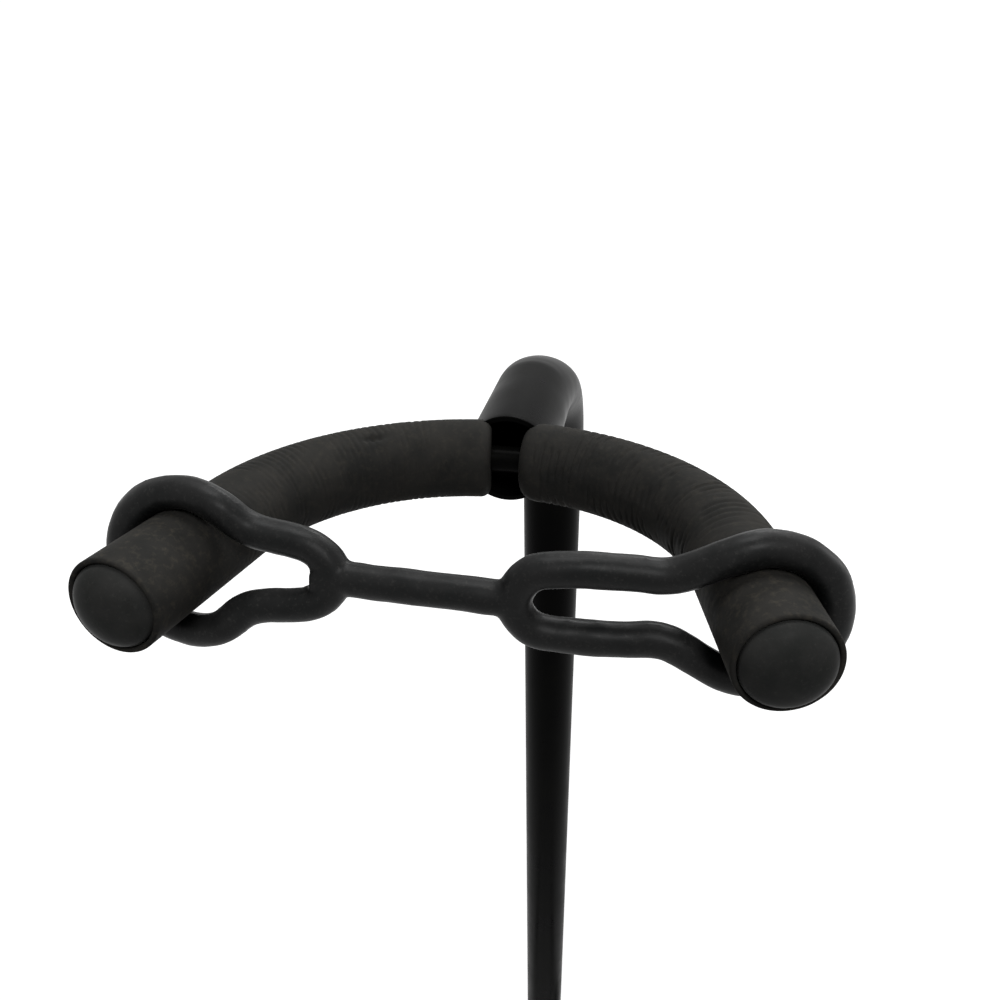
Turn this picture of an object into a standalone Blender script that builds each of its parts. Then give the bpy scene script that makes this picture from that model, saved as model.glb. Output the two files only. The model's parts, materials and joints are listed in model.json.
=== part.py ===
"""Guitar stand with a padded neck yoke, a telescopic post, a lower cradle and a folding tripod.

Metres, +Z up. The player's side is -Y. The origin is on the floor, under the middle of the
stand's outline. The upper tube bends forward over the top of the post, and the yoke's rod lies
across its open mouth.
"""

import math

import bpy
import bmesh
from mathutils import Matrix, Vector
from mathutils.geometry import convex_hull_2d

MM = 0.001
GAP = 0.3 * MM                      # space kept between pieces that touch
PAST = 1.3                          # how far a cutting tool runs past the face it leaves by

# Upper tube and yoke
YOKE_HEIGHT = 880.0 * MM            # rod centre above the floor
UPPER_TUBE_R = 11.1 * MM            # 7/8 inch tube
UPPER_WALL = 1.2 * MM
NOSE_LENGTH = 48.0 * MM             # straight run from the mouth to the bend
TUBE_BEND_R = 75.0 * MM
TUBE_BEND_ANGLE = math.radians(77.5)
ROD_R = 3.175 * MM                  # 1/4 inch rod
YOKE_BEND_R = 52.5 * MM
YOKE_BEND_ANGLE = math.radians(80.0)
ARM_STRAIGHT_LEFT = 35.2 * MM
ARM_STRAIGHT_RIGHT = 32.6 * MM
SLEEVE_R = 9.5 * MM
SLEEVE_START = 4.0 * MM             # inner end of each sleeve, along the rod from its middle
DOME_R = 8.6 * MM                   # end plugs of the padded arms
DOME_HEIGHT = 5.6 * MM
DOME_SKIRT = 1.2 * MM
SOCKET_DEPTH = 3.6 * MM

# Neck strap: a ring round each arm, paired strands and a bar between them
STRAP_R = 3.4 * MM
BAR_R = 3.45 * MM
BAR_OVERLAP = 1.4 * MM              # how far the bar runs into each loop
BAR_DROP = 1.2 * MM                 # bar below the arms' plane
BAR_LEFT_X = -23.8 * MM             # ends of the bar, where the strands meet
BAR_LEFT_FORWARD = 61.8 * MM
BAR_RIGHT_X = 10.7 * MM
BAR_RIGHT_FORWARD = 63.6 * MM
RING_BACK_LEFT = 16.8 * MM          # ring's middle to the padded arm's end
RING_BACK_RIGHT = 13.7 * MM
RING_PULL_LEFT = 1.8 * MM           # how far the bar pulls each ring to itself
RING_PULL_RIGHT = 0.3 * MM
RING_LEAN_LEFT = 0.2                # how far back the ring leans, over its height
RING_LEAN_RIGHT = 0.0
RING_SAG = 0.6 * MM                 # how far the rings hang below the arms
STRAND_REACH_LEFT = 14.9 * MM       # arm's axis to the loop's narrow part
STRAND_REACH_RIGHT = 16.1 * MM
STRAND_HALF_GAP_LEFT = 7.6 * MM
STRAND_HALF_GAP_RIGHT = 7.0 * MM

# Telescopic column
LOWER_TUBE_R = 14.3 * MM            # 1 1/8 inch tube
LOWER_WALL = 1.5 * MM
LOWER_TUBE_TOP = 290.0 * MM
UPPER_TUBE_BOTTOM = 190.3 * MM
BUSH_LENGTH = 20.0 * MM
BUSH_FLANGE = 2.0 * MM
GUIDE_HEAD = 4.0 * MM
GUIDE_STEM = 14.0 * MM
END_CAP_HEAD = 3.7 * MM
END_CAP_STEM = 10.0 * MM

# Clamp collar, with its screw along +X
COLLAR_R = 19.5 * MM
COLLAR_BELOW = 26.0 * MM            # length over the lower tube
COLLAR_ABOVE = 28.0 * MM            # length over the upper tube
COLLAR_CHAMFER = 2.0 * MM
CLAMP_ABOVE_TUBE = 15.0 * MM        # clamp screw's axis above the lower tube's end
BOSS_R = 8.5 * MM
BOSS_REACH = 30.0 * MM
CLAMP_SCREW_R = 3.0 * MM
SHOE_THICKNESS = 2.5 * MM
KNOB_R = 16.0 * MM
KNOB_LENGTH = 18.0 * MM
KNOB_FACE_R = 11.2 * MM
KNOB_GRIP_TOP = 15.5 * MM           # grip from its lower to its upper edge, along the knob
KNOB_GRIP_BOTTOM = 7.6 * MM
KNOB_NECK_R = 9.9 * MM
KNOB_NECK_TOP = 5.4 * MM
KNOB_FOOT_R = 8.0 * MM
KNOB_CLEAR = 3.0 * MM               # boss face to knob when tight
KNOB_LOBES = 6
KNOB_GRIP_R = 5.0 * MM
KNOB_GRIP_CENTRE_R = 18.2 * MM
KNOB_INSERT_DEPTH = 12.0 * MM
SCREW_CROWN = 0.65                  # flat top of a screw's head, as a share of its width
COLLAR_SCREW_R = 1.9 * MM
COLLAR_SCREW_HEAD_R = 3.6 * MM
COLLAR_SCREW_HEAD = 2.4 * MM
COLLAR_SCREW_DROP = 15.0 * MM       # below the lower tube's end

# Cradle for the instrument's body
CRADLE_HEIGHT = 215.0 * MM
CRADLE_FORWARD = 34.0 * MM          # cradle rod's axis in front of the post's axis
CRADLE_ROD_R = 4.0 * MM
CRADLE_HALF_BAR = 70.0 * MM
CRADLE_BEND_R = 35.0 * MM
CRADLE_ARM = 62.0 * MM
CRADLE_TIP_R = 24.0 * MM
CRADLE_TIP_ANGLE = math.radians(62.0)
CRADLE_TIP = 14.0 * MM
CRADLE_SLEEVE_SKIP = 30.0 * MM      # bare rod along the side bend before the sleeve
BRACKET_WALL = 4.4 * MM
BRACKET_HALF_HEIGHT = 18.0 * MM
BLOCK_HALF_WIDTH = 22.0 * MM
BLOCK_HALF_HEIGHT = 12.0 * MM
BLOCK_ROOT_R = 8.6 * MM             # where the block starts inside the ring, from the post's axis
CAP_THICKNESS = 7.0 * MM
CAP_SCREW_R = 2.0 * MM
CAP_SCREW_HEAD_R = 3.4 * MM
CAP_SCREW_HEAD = 2.4 * MM
CAP_SCREW_BITE = 9.0 * MM
CAP_SCREW_ACROSS = 15.0 * MM        # cap screws beside the middle
STOP_WIDTH = 6.0 * MM
STOP_PLAY = 1.2 * MM                # room on both sides of a stop
STOP_RING_R = 7.5 * MM
STOP_LUG = 11.0 * MM
STOP_LUG_DROP = 4.5 * MM
WING_DEPTH = 8.0 * MM
WING_RISE = 10.0 * MM
WING_LOW = 2.0 * MM                 # wing's underside above the cradle rod's axis

# Tripod
PIVOT_R = 33.0 * MM                 # leg pivots from the post's axis
PIVOT_HEIGHT = 130.0 * MM
HUB_BELOW = 30.0 * MM               # hub's length below and above the pivots
HUB_ABOVE = 30.0 * MM
HUB_WALL = 3.9 * MM
TUBE_SHOWS = 2.0 * MM               # lower tube's end below the hub
FRONT_REACH = 300.0 * MM            # foot centres from the post's axis
REAR_REACH = 125.0 * MM
FRONT_SPREAD = math.radians(50.0)   # front legs from straight ahead
LEG_R = 9.5 * MM
LEG_WALL = 1.2 * MM
EAR_THICKNESS = 3.0 * MM
EAR_ROOF = 3.0 * MM
EAR_REACH = 19.0 * MM
EAR_ROOT_R = 9.0 * MM               # where the ears start inside the hub, from the post's axis
PIVOT_BOLT_R = 3.0 * MM
HEX_R = 5.8 * MM
HEX_HEIGHT = 4.0 * MM
KNUCKLE_STEM = 34.0 * MM
LEG_TUBE_START = 11.0 * MM
SET_SCREW_R = 2.5 * MM
SET_SCREW_LENGTH = 7.0 * MM
HUB_SCREW_DROP = 6.5 * MM           # hub's grub screws below its top

# Feet
FOOT_R = 15.0 * MM
FOOT_HEIGHT = 16.0 * MM
FOOT_CHAMFER = 1.5 * MM
FOOT_WALL = 3.0 * MM
FOOT_SOCKET = 30.0 * MM
FOOT_AXIS_HEIGHT = 11.5 * MM        # leg's axis above the floor at the foot's centre
LEG_END_SHORT = 3.0 * MM            # tube end to the foot's centre

# Values that follow from the ones above
YOKE_TILT = math.pi / 2 - TUBE_BEND_ANGLE
POST_REACH = (
    NOSE_LENGTH * math.cos(YOKE_TILT)
    + TUBE_BEND_R * (1 - math.sin(YOKE_TILT))
)
BEND_DROP = NOSE_LENGTH * math.sin(YOKE_TILT) + TUBE_BEND_R * math.cos(YOKE_TILT)
POST_Y = (FRONT_REACH * math.cos(FRONT_SPREAD) - REAR_REACH) / 2
POST_STRAIGHT = YOKE_HEIGHT - BEND_DROP - UPPER_TUBE_BOTTOM
CLAMP_Z = LOWER_TUBE_TOP + CLAMP_ABOVE_TUBE
HUB_BOTTOM = PIVOT_HEIGHT - HUB_BELOW
HUB_TOP = PIVOT_HEIGHT + HUB_ABOVE
LOWER_TUBE_BOTTOM = HUB_BOTTOM - TUBE_SHOWS
UPPER_BORE_R = UPPER_TUBE_R - UPPER_WALL
LOWER_BORE_R = LOWER_TUBE_R - LOWER_WALL
HUB_BORE_R = LOWER_TUBE_R + GAP
HUB_R = HUB_BORE_R + HUB_WALL
LEG_BORE_R = LEG_R - LEG_WALL
SLOT_HALF = LEG_R + GAP
EAR_HALF = SLOT_HALF + EAR_THICKNESS

STAND = "guitar_stand"
CUTTERS = "guitar_stand_cutters"


def clear_scene():
    for old in list(bpy.data.objects):
        bpy.data.objects.remove(old, do_unlink=True)
    for name in (STAND, CUTTERS):
        collection = bpy.data.collections.new(name)
        bpy.context.scene.collection.children.link(collection)
    return bpy.data.collections[STAND], bpy.data.collections[CUTTERS]


PARTS, TOOLS = clear_scene()


def material(name, colour, roughness, metallic):
    mat = bpy.data.materials.new(name)
    mat.use_nodes = True
    shader = mat.node_tree.nodes["Principled BSDF"]
    shader.inputs["Base Color"].default_value = (*colour, 1.0)
    shader.inputs["Roughness"].default_value = roughness
    shader.inputs["Metallic"].default_value = metallic
    return mat


PAINT = material("black_painted_steel", (0.012, 0.012, 0.012), 0.35, 0.0)
FOAM = material("black_foam_rubber", (0.022, 0.021, 0.020), 0.75, 0.0)
RUBBER = material("black_moulded_rubber", (0.018, 0.018, 0.018), 0.5, 0.0)
PLASTIC = material("black_moulded_nylon", (0.016, 0.016, 0.016), 0.45, 0.0)
STEEL = material("zinc_plated_steel", (0.55, 0.55, 0.53), 0.35, 1.0)


# Shapes


def add_object(name, data, mat=None, parent=None, place=None, tool=False):
    obj = bpy.data.objects.new(name, data)
    if mat is not None and not data.materials:
        data.materials.append(mat)
    obj.parent = parent
    if place is not None:
        obj.matrix_local = place
    if tool:
        TOOLS.objects.link(obj)
        obj.hide_render = True
        obj.display_type = "WIRE"
    else:
        PARTS.objects.link(obj)
    return obj


def empty(name, place, parent=None):
    obj = bpy.data.objects.new(name, None)
    PARTS.objects.link(obj)
    obj.parent = parent
    obj.matrix_local = place
    bpy.context.view_layer.update()
    return obj


def finish_bmesh(name, bm):
    mesh = bpy.data.meshes.new(name)
    bm.to_mesh(mesh)
    bm.free()
    mesh.shade_smooth()
    mesh.set_sharp_from_angle(angle=math.radians(35))
    return mesh


def pin(name, start, end, radius, sides=24, **where):
    """A round bar between two points."""
    start, end = Vector(start), Vector(end)
    along = end - start
    turn = along.to_track_quat("Z", "Y").to_matrix().to_4x4()
    bm = bmesh.new()
    bmesh.ops.create_cone(
        bm,
        cap_ends=True,
        segments=sides,
        radius1=radius,
        radius2=radius,
        depth=along.length,
        matrix=Matrix.Translation((start + end) / 2) @ turn,
    )
    return add_object(name, finish_bmesh(name, bm), **where)


def block(name, low, high, **where):
    """A box between two corners."""
    low, high = Vector(low), Vector(high)
    size = high - low
    scale = Matrix.Diagonal((size.x, size.y, size.z, 1.0))
    bm = bmesh.new()
    bmesh.ops.create_cube(bm, size=1.0, matrix=Matrix.Translation((low + high) / 2) @ scale)
    return add_object(name, finish_bmesh(name, bm), **where)


def prism(name, outline, half_width, **where):
    """A flat shape of (x, z) points, given its width along Y on both sides."""
    bm = bmesh.new()
    near = [bm.verts.new((x, -half_width, z)) for x, z in outline]
    far = [bm.verts.new((x, half_width, z)) for x, z in outline]
    bm.faces.new(near)
    bm.faces.new(list(reversed(far)))
    for i in range(len(outline)):
        bm.faces.new((near[i], near[i - 1], far[i - 1], far[i]))
    bmesh.ops.recalc_face_normals(bm, faces=bm.faces)
    return add_object(name, finish_bmesh(name, bm), **where)


def turned(name, profile, steps=28, closed=False, **where):
    """A turned piece: (radius, height) points, down the outer side first, about local Z."""
    mesh = bpy.data.meshes.new(name)
    points = [(r, 0.0, z) for r, z in profile]
    edges = [(i, i + 1) for i in range(len(points) - 1)]
    if closed:
        edges.append((len(points) - 1, 0))
    mesh.from_pydata(points, edges, [])
    obj = add_object(name, mesh, **where)
    screw = obj.modifiers.new("turn", "SCREW")
    screw.steps = steps
    screw.render_steps = steps
    screw.use_merge_vertices = True
    screw.merge_threshold = 0.00001
    screw.use_smooth_shade = True
    return obj


def sweep(name, points, radius, sides=16, cyclic=False, caps=True, **where):
    """A round bar along a list of points, as a welded mesh."""
    curve = bpy.data.curves.new(name, "CURVE")
    curve.dimensions = "3D"
    curve.bevel_depth = radius
    curve.bevel_resolution = (sides - 4) // 2
    curve.use_fill_caps = caps
    spline = curve.splines.new("POLY")
    spline.points.add(len(points) - 1)
    for slot, point in zip(spline.points, points):
        slot.co = (*point, 1.0)
    spline.use_cyclic_u = cyclic
    guide = bpy.data.objects.new(name + "_curve", curve)
    TOOLS.objects.link(guide)
    depsgraph = bpy.context.evaluated_depsgraph_get()
    mesh = bpy.data.meshes.new_from_object(guide.evaluated_get(depsgraph))
    bpy.data.objects.remove(guide)
    bm = bmesh.new()
    bm.from_mesh(mesh)
    bmesh.ops.remove_doubles(bm, verts=bm.verts, dist=0.00001)
    bpy.data.meshes.remove(mesh)
    return add_object(name, finish_bmesh(name, bm), **where)


def hollow(name, points, radius, wall, sides=20, **where):
    """A tube: an open sweep with its wall set inwards."""
    obj = sweep(name, points, radius, sides, caps=False, **where)
    shell = obj.modifiers.new("wall", "SOLIDIFY")
    shell.thickness = wall
    shell.offset = -1
    shell.use_even_offset = True
    return obj


def combine(obj, tool, operation):
    """Cut a tool from a piece, or join it on."""
    if tool.name in PARTS.objects:
        PARTS.objects.unlink(tool)
        TOOLS.objects.link(tool)
        tool.hide_render = True
        tool.display_type = "WIRE"
    boolean = obj.modifiers.new(tool.name, "BOOLEAN")
    boolean.operation = operation
    boolean.solver = "EXACT"
    boolean.object = tool
    return obj


def cut(obj, *tools):
    for tool in tools:
        combine(obj, tool, "DIFFERENCE")
    return obj


def join(obj, *tools):
    for tool in tools:
        combine(obj, tool, "UNION")
    return obj


def smooth_loop(points, per_span):
    """Points along a closed smooth curve through the given ones."""
    count = len(points)
    result = []
    for i in range(count):
        a, b, c, d = (Vector(points[(i + k) % count]) for k in (-1, 0, 1, 2))
        for step in range(per_span):
            t = step / per_span
            result.append(
                0.5 * (2 * b + (c - a) * t + (2 * a - 5 * b + 4 * c - d) * t**2
                       + (3 * b - a - 3 * c + d) * t**3)
            )
    return result


# Frames that the pieces hang on

POST_FOOT = empty("post_foot", Matrix.Translation((0, POST_Y, 0)))
NECK_PIVOT = empty("neck_pivot", Matrix.Translation((0, 0, LOWER_TUBE_TOP)), POST_FOOT)
YOKE_FRAME = empty(
    "yoke_frame",
    Matrix.Translation((0, -POST_REACH, YOKE_HEIGHT - LOWER_TUBE_TOP))
    @ Matrix.Rotation(-YOKE_TILT, 4, "X"),
    NECK_PIVOT,
)
CLAMP_AXIS = empty("clamp_axis", Matrix.Translation((0, 0, CLAMP_Z)), POST_FOOT)
CRADLE_AXIS = empty(
    "cradle_axis", Matrix.Translation((0, -CRADLE_FORWARD, CRADLE_HEIGHT)), POST_FOOT
)


# Upper tube and yoke


def arm_point(side, distance):
    """Place and heading on the yoke rod's centreline, from its middle outwards."""
    bend = YOKE_BEND_R * YOKE_BEND_ANGLE
    angle = min(distance / YOKE_BEND_R, YOKE_BEND_ANGLE)
    rest = max(0.0, distance - bend)
    x = YOKE_BEND_R * math.sin(angle) + rest * math.cos(angle)
    y = YOKE_BEND_R * (1 - math.cos(angle)) + rest * math.sin(angle)
    return Vector((side * x, -y, 0)), Vector((side * math.cos(angle), -math.sin(angle), 0))


def arm_points(side, start, end, steps):
    """Stations along one arm: even in the bend, then the end of the straight."""
    bend = YOKE_BEND_R * YOKE_BEND_ANGLE
    stations = [start + (bend - start) * i / steps for i in range(steps + 1)]
    return [arm_point(side, s)[0] for s in stations + [end]]


def arm_length(side):
    straight = ARM_STRAIGHT_LEFT if side < 0 else ARM_STRAIGHT_RIGHT
    return YOKE_BEND_R * YOKE_BEND_ANGLE + straight


def upper_tube_path():
    """From the mouth back along the nose, round the bend and down the post."""
    points = [Vector((0, 0, 0))]
    steps = 12
    for i in range(steps + 1):
        angle = TUBE_BEND_ANGLE * i / steps
        y = NOSE_LENGTH + TUBE_BEND_R * math.sin(angle)
        z = -TUBE_BEND_R * (1 - math.cos(angle))
        points.append(Vector((0, y, z)))
    down = Vector((0, math.cos(TUBE_BEND_ANGLE), -math.sin(TUBE_BEND_ANGLE)))
    points.append(points[-1] + down * POST_STRAIGHT)
    return points


def make_upper_tube():
    tube = hollow(
        "upper_tube", upper_tube_path(), UPPER_TUBE_R, UPPER_WALL, mat=PAINT, parent=YOKE_FRAME
    )
    reach = UPPER_TUBE_R * PAST
    shares = (-1.0, -0.75, -0.5, -0.25, 0.0, 0.25, 0.5, 0.75, 1.0)
    notch_path = [arm_point(-1 if share < 0 else 1, abs(share) * reach)[0] for share in shares]
    notch = sweep("mouth_notch", notch_path, ROD_R + GAP, sides=16, parent=YOKE_FRAME, tool=True)
    cut(tube, notch)


def make_yoke_rod():
    left = arm_points(-1, 0.0, arm_length(-1) + SOCKET_DEPTH, 11)
    right = arm_points(1, 0.0, arm_length(1) + SOCKET_DEPTH, 11)
    path = list(reversed(left)) + right[1:]
    sweep("yoke_rod", path, ROD_R, sides=12, mat=PAINT, parent=YOKE_FRAME)


def dome_plug(name, bore_r, place, parent):
    """A domed plug with a socket for the rod's end; its back face is at local zero."""
    steps = 6
    rise = DOME_HEIGHT - DOME_SKIRT
    profile = []
    for i in range(steps + 1):
        angle = math.pi / 2 * i / steps
        profile.append((DOME_R * math.sin(angle), DOME_SKIRT + rise * math.cos(angle)))
    profile += [(DOME_R, 0.0), (bore_r, 0.0), (bore_r, SOCKET_DEPTH), (0.0, SOCKET_DEPTH)]
    turned(name, profile, steps=18, mat=PLASTIC, parent=parent, place=place)


def facing(point, heading):
    """A placement whose local Z runs along the heading."""
    return Matrix.Translation(point) @ heading.to_track_quat("Z", "Y").to_matrix().to_4x4()


def make_yoke_padding():
    for side, word in ((-1, "left"), (1, "right")):
        length = arm_length(side)
        path = arm_points(side, SLEEVE_START, length, 9)
        sleeve = hollow(
            f"yoke_sleeve_{word}", path, SLEEVE_R, SLEEVE_R - ROD_R - GAP, sides=16,
            mat=FOAM, parent=YOKE_FRAME,
        )
        room = pin(
            f"nose_room_{word}", (0, -GAP, 0), (0, SLEEVE_R * 4, 0), UPPER_TUBE_R + GAP,
            sides=32, parent=YOKE_FRAME, tool=True,
        )
        cut(sleeve, room)
        point, heading = arm_point(side, length + GAP)
        dome_plug(f"yoke_plug_{word}", ROD_R + GAP, facing(point, heading), YOKE_FRAME)


def bar_end(side):
    if side < 0:
        return Vector((BAR_LEFT_X, -BAR_LEFT_FORWARD, -BAR_DROP))
    return Vector((BAR_RIGHT_X, -BAR_RIGHT_FORWARD, -BAR_DROP))


def strap_loop(side, back, pull, lean, reach, half_gap):
    """Centreline of one keyhole loop: a ring round the arm, then two strands to the bar."""
    arm, heading = arm_point(side, arm_length(side) - back)
    outward = Vector((-side * heading.y, side * heading.x, 0))
    upward = Vector((0, lean, 1))
    clear = SLEEVE_R + GAP + STRAP_R
    middle = arm - outward * pull - Vector((0, 0, RING_SAG))
    meet = bar_end(side)

    def ring(degrees):
        angle = math.radians(degrees)
        across = outward * ((clear + pull) * math.cos(angle))
        return middle + across + upward * ((clear + RING_SAG) * math.sin(angle))

    def strand(x, rise):
        share = (x - meet.x) / (middle.x - meet.x)
        return meet.lerp(middle, share) + upward * rise

    near = arm.x - side * reach
    stations = [(near, half_gap)]
    if abs(near - meet.x) > 3 * half_gap:
        stations += [(meet.x + (near - meet.x) * share, half_gap) for share in (0.72, 0.36)]
    stations.append((meet.x + side * half_gap / 2, half_gap * 0.75))
    upper = [ring(d) for d in (30, 60, 90, 118)] + [strand(x, z) for x, z in stations]
    lower = [ring(-d) for d in (30, 60, 90, 118)] + [strand(x, -z) for x, z in stations]
    return [ring(0)] + upper + [meet] + lower[::-1]


def make_strap():
    left = strap_loop(
        -1, RING_BACK_LEFT, RING_PULL_LEFT, RING_LEAN_LEFT, STRAND_REACH_LEFT, STRAND_HALF_GAP_LEFT
    )
    right = strap_loop(
        1, RING_BACK_RIGHT, RING_PULL_RIGHT, RING_LEAN_RIGHT, STRAND_REACH_RIGHT,
        STRAND_HALF_GAP_RIGHT,
    )
    where = dict(parent=YOKE_FRAME)
    strap = sweep(
        "neck_strap", smooth_loop(left, 2), STRAP_R, sides=8, cyclic=True, mat=RUBBER, **where
    )
    other = sweep(
        "strap_right_loop", smooth_loop(right, 2), STRAP_R, sides=8, cyclic=True, tool=True, **where
    )
    along = (bar_end(1) - bar_end(-1)).normalized() * BAR_OVERLAP
    bar = sweep(
        "strap_bar", [bar_end(-1) - along, bar_end(1) + along], BAR_R, sides=12, tool=True, **where
    )
    join(strap, bar, other)


# Column


def make_column():
    turned(
        "lower_tube",
        [
            (LOWER_TUBE_R, LOWER_TUBE_TOP),
            (LOWER_TUBE_R, LOWER_TUBE_BOTTOM),
            (LOWER_BORE_R, LOWER_TUBE_BOTTOM),
            (LOWER_BORE_R, LOWER_TUBE_TOP),
        ],
        closed=True, mat=PAINT, parent=POST_FOOT,
    )
    bush_r = LOWER_BORE_R - GAP
    bore_r = UPPER_TUBE_R + GAP
    seat = LOWER_TUBE_TOP + GAP
    turned(
        "collar_bush",
        [
            (LOWER_TUBE_R, seat + BUSH_FLANGE),
            (LOWER_TUBE_R, seat),
            (bush_r, seat),
            (bush_r, LOWER_TUBE_TOP - BUSH_LENGTH),
            (bore_r, LOWER_TUBE_TOP - BUSH_LENGTH),
            (bore_r, seat + BUSH_FLANGE),
        ],
        closed=True, mat=PLASTIC, parent=POST_FOOT,
    )
    head_r = LOWER_BORE_R - GAP
    stem_r = UPPER_BORE_R - GAP
    head_top = UPPER_TUBE_BOTTOM - GAP
    turned(
        "tube_guide_plug",
        [
            (0.0, head_top + GUIDE_STEM),
            (stem_r, head_top + GUIDE_STEM),
            (stem_r, head_top),
            (head_r, head_top),
            (head_r, head_top - GUIDE_HEAD),
            (0.0, head_top - GUIDE_HEAD),
        ],
        steps=24, mat=PLASTIC, parent=NECK_PIVOT,
        place=Matrix.Translation((0, 0, -LOWER_TUBE_TOP)),
    )
    cap_top = LOWER_TUBE_BOTTOM - GAP
    turned(
        "hub_bottom_cap",
        [
            (0.0, LOWER_TUBE_BOTTOM + END_CAP_STEM),
            (head_r, LOWER_TUBE_BOTTOM + END_CAP_STEM),
            (head_r, cap_top),
            (LOWER_TUBE_R, cap_top),
            (LOWER_TUBE_R, cap_top - END_CAP_HEAD + COLLAR_CHAMFER / 2),
            (LOWER_TUBE_R - COLLAR_CHAMFER / 2, cap_top - END_CAP_HEAD),
            (0.0, cap_top - END_CAP_HEAD),
        ],
        steps=24, mat=PLASTIC, parent=POST_FOOT,
    )


# Clamp collar


def make_collar():
    low = LOWER_TUBE_TOP - COLLAR_BELOW
    high = LOWER_TUBE_TOP + COLLAR_ABOVE
    seat = LOWER_TUBE_TOP + GAP + BUSH_FLANGE + GAP
    bore_r = UPPER_TUBE_R + GAP
    collar = turned(
        "clamp_collar",
        [
            (COLLAR_R - COLLAR_CHAMFER, high),
            (COLLAR_R, high - COLLAR_CHAMFER),
            (COLLAR_R, low + COLLAR_CHAMFER / 2),
            (COLLAR_R - COLLAR_CHAMFER / 2, low),
            (LOWER_TUBE_R + GAP, low),
            (LOWER_TUBE_R + GAP, seat),
            (bore_r, seat),
            (bore_r, high),
        ],
        steps=36, closed=True, mat=PLASTIC, parent=POST_FOOT,
    )
    inside = (UPPER_TUBE_R + COLLAR_R) / 2
    boss = pin(
        "clamp_boss", (inside, 0, 0), (BOSS_REACH, 0, 0), BOSS_R, parent=CLAMP_AXIS, tool=True
    )
    bore = pin(
        "clamp_bore", (UPPER_TUBE_R / 2, 0, 0), (BOSS_REACH * PAST, 0, 0), CLAMP_SCREW_R + GAP,
        sides=20, parent=CLAMP_AXIS, tool=True,
    )
    join(collar, boss)
    cut(collar, bore)
    screw_z = LOWER_TUBE_TOP - COLLAR_SCREW_DROP
    for side, word in ((-1, "front"), (1, "back")):
        hole = pin(
            f"collar_hole_{word}",
            (0, side * (LOWER_BORE_R - GAP), screw_z), (0, side * COLLAR_R * PAST, screw_z),
            COLLAR_SCREW_R + GAP, sides=12, parent=POST_FOOT, tool=True,
        )
        cut(collar, hole)
        cut(bpy.data.objects["lower_tube"], hole)
    make_collar_screws(screw_z)


def make_collar_screws(screw_z):
    """Two pan-head screws through the collar into the lower tube's wall."""
    tip = LOWER_BORE_R + GAP
    seat = COLLAR_R + GAP
    for side, word in ((-1, "front"), (1, "back")):
        place = facing(Vector((0, 0, screw_z)), Vector((0, side, 0)))
        headed_screw(
            f"collar_screw_{word}", COLLAR_SCREW_R, COLLAR_SCREW_HEAD_R, COLLAR_SCREW_HEAD,
            seat, tip, place,
        )


def headed_screw(name, shank_r, head_r, head, seat, tip, place):
    """A screw along local Z: its head rests on the seat, its shank ends at the tip."""
    profile = [
        (0.0, seat + head),
        (head_r * SCREW_CROWN, seat + head),
        (head_r, seat),
        (shank_r, seat),
        (shank_r, tip),
        (0.0, tip),
    ]
    turned(name, profile, steps=14, mat=STEEL, parent=POST_FOOT, place=place)


def make_clamp():
    shoe_start = UPPER_TUBE_R + GAP
    screw_start = shoe_start + SHOE_THICKNESS + GAP
    knob_start = BOSS_REACH + KNOB_CLEAR
    pin(
        "clamp_shoe", (shoe_start, 0, 0), (shoe_start + SHOE_THICKNESS, 0, 0), CLAMP_SCREW_R,
        sides=16, mat=PLASTIC, parent=CLAMP_AXIS,
    )
    pin(
        "clamp_screw", (screw_start, 0, 0), (knob_start + KNOB_INSERT_DEPTH - GAP, 0, 0),
        CLAMP_SCREW_R, sides=16, mat=STEEL, parent=CLAMP_AXIS,
    )
    out = facing(Vector((knob_start, 0, 0)), Vector((1, 0, 0)))
    bore_r = CLAMP_SCREW_R + GAP
    knob = turned(
        "clamp_knob",
        [
            (0.0, KNOB_LENGTH),
            (KNOB_FACE_R, KNOB_LENGTH),
            (KNOB_R, KNOB_GRIP_TOP),
            (KNOB_R, KNOB_GRIP_BOTTOM),
            (KNOB_NECK_R, KNOB_NECK_TOP),
            (KNOB_FOOT_R, 0.0),
            (bore_r, 0.0),
            (bore_r, KNOB_INSERT_DEPTH),
            (0.0, KNOB_INSERT_DEPTH),
        ],
        steps=36, mat=PLASTIC, parent=CLAMP_AXIS, place=out,
    )
    for i in range(KNOB_LOBES):
        angle = 2 * math.pi * (i + 0.5) / KNOB_LOBES
        centre = KNOB_GRIP_CENTRE_R * Vector((0, math.cos(angle), math.sin(angle)))
        start = centre + Vector((knob_start - KNOB_CLEAR / 2, 0, 0))
        end = centre + Vector((knob_start + KNOB_LENGTH * PAST, 0, 0))
        cut(knob, pin(f"knob_grip_{i}", start, end, KNOB_GRIP_R, sides=16, parent=CLAMP_AXIS, tool=True))


# Cradle


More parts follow.
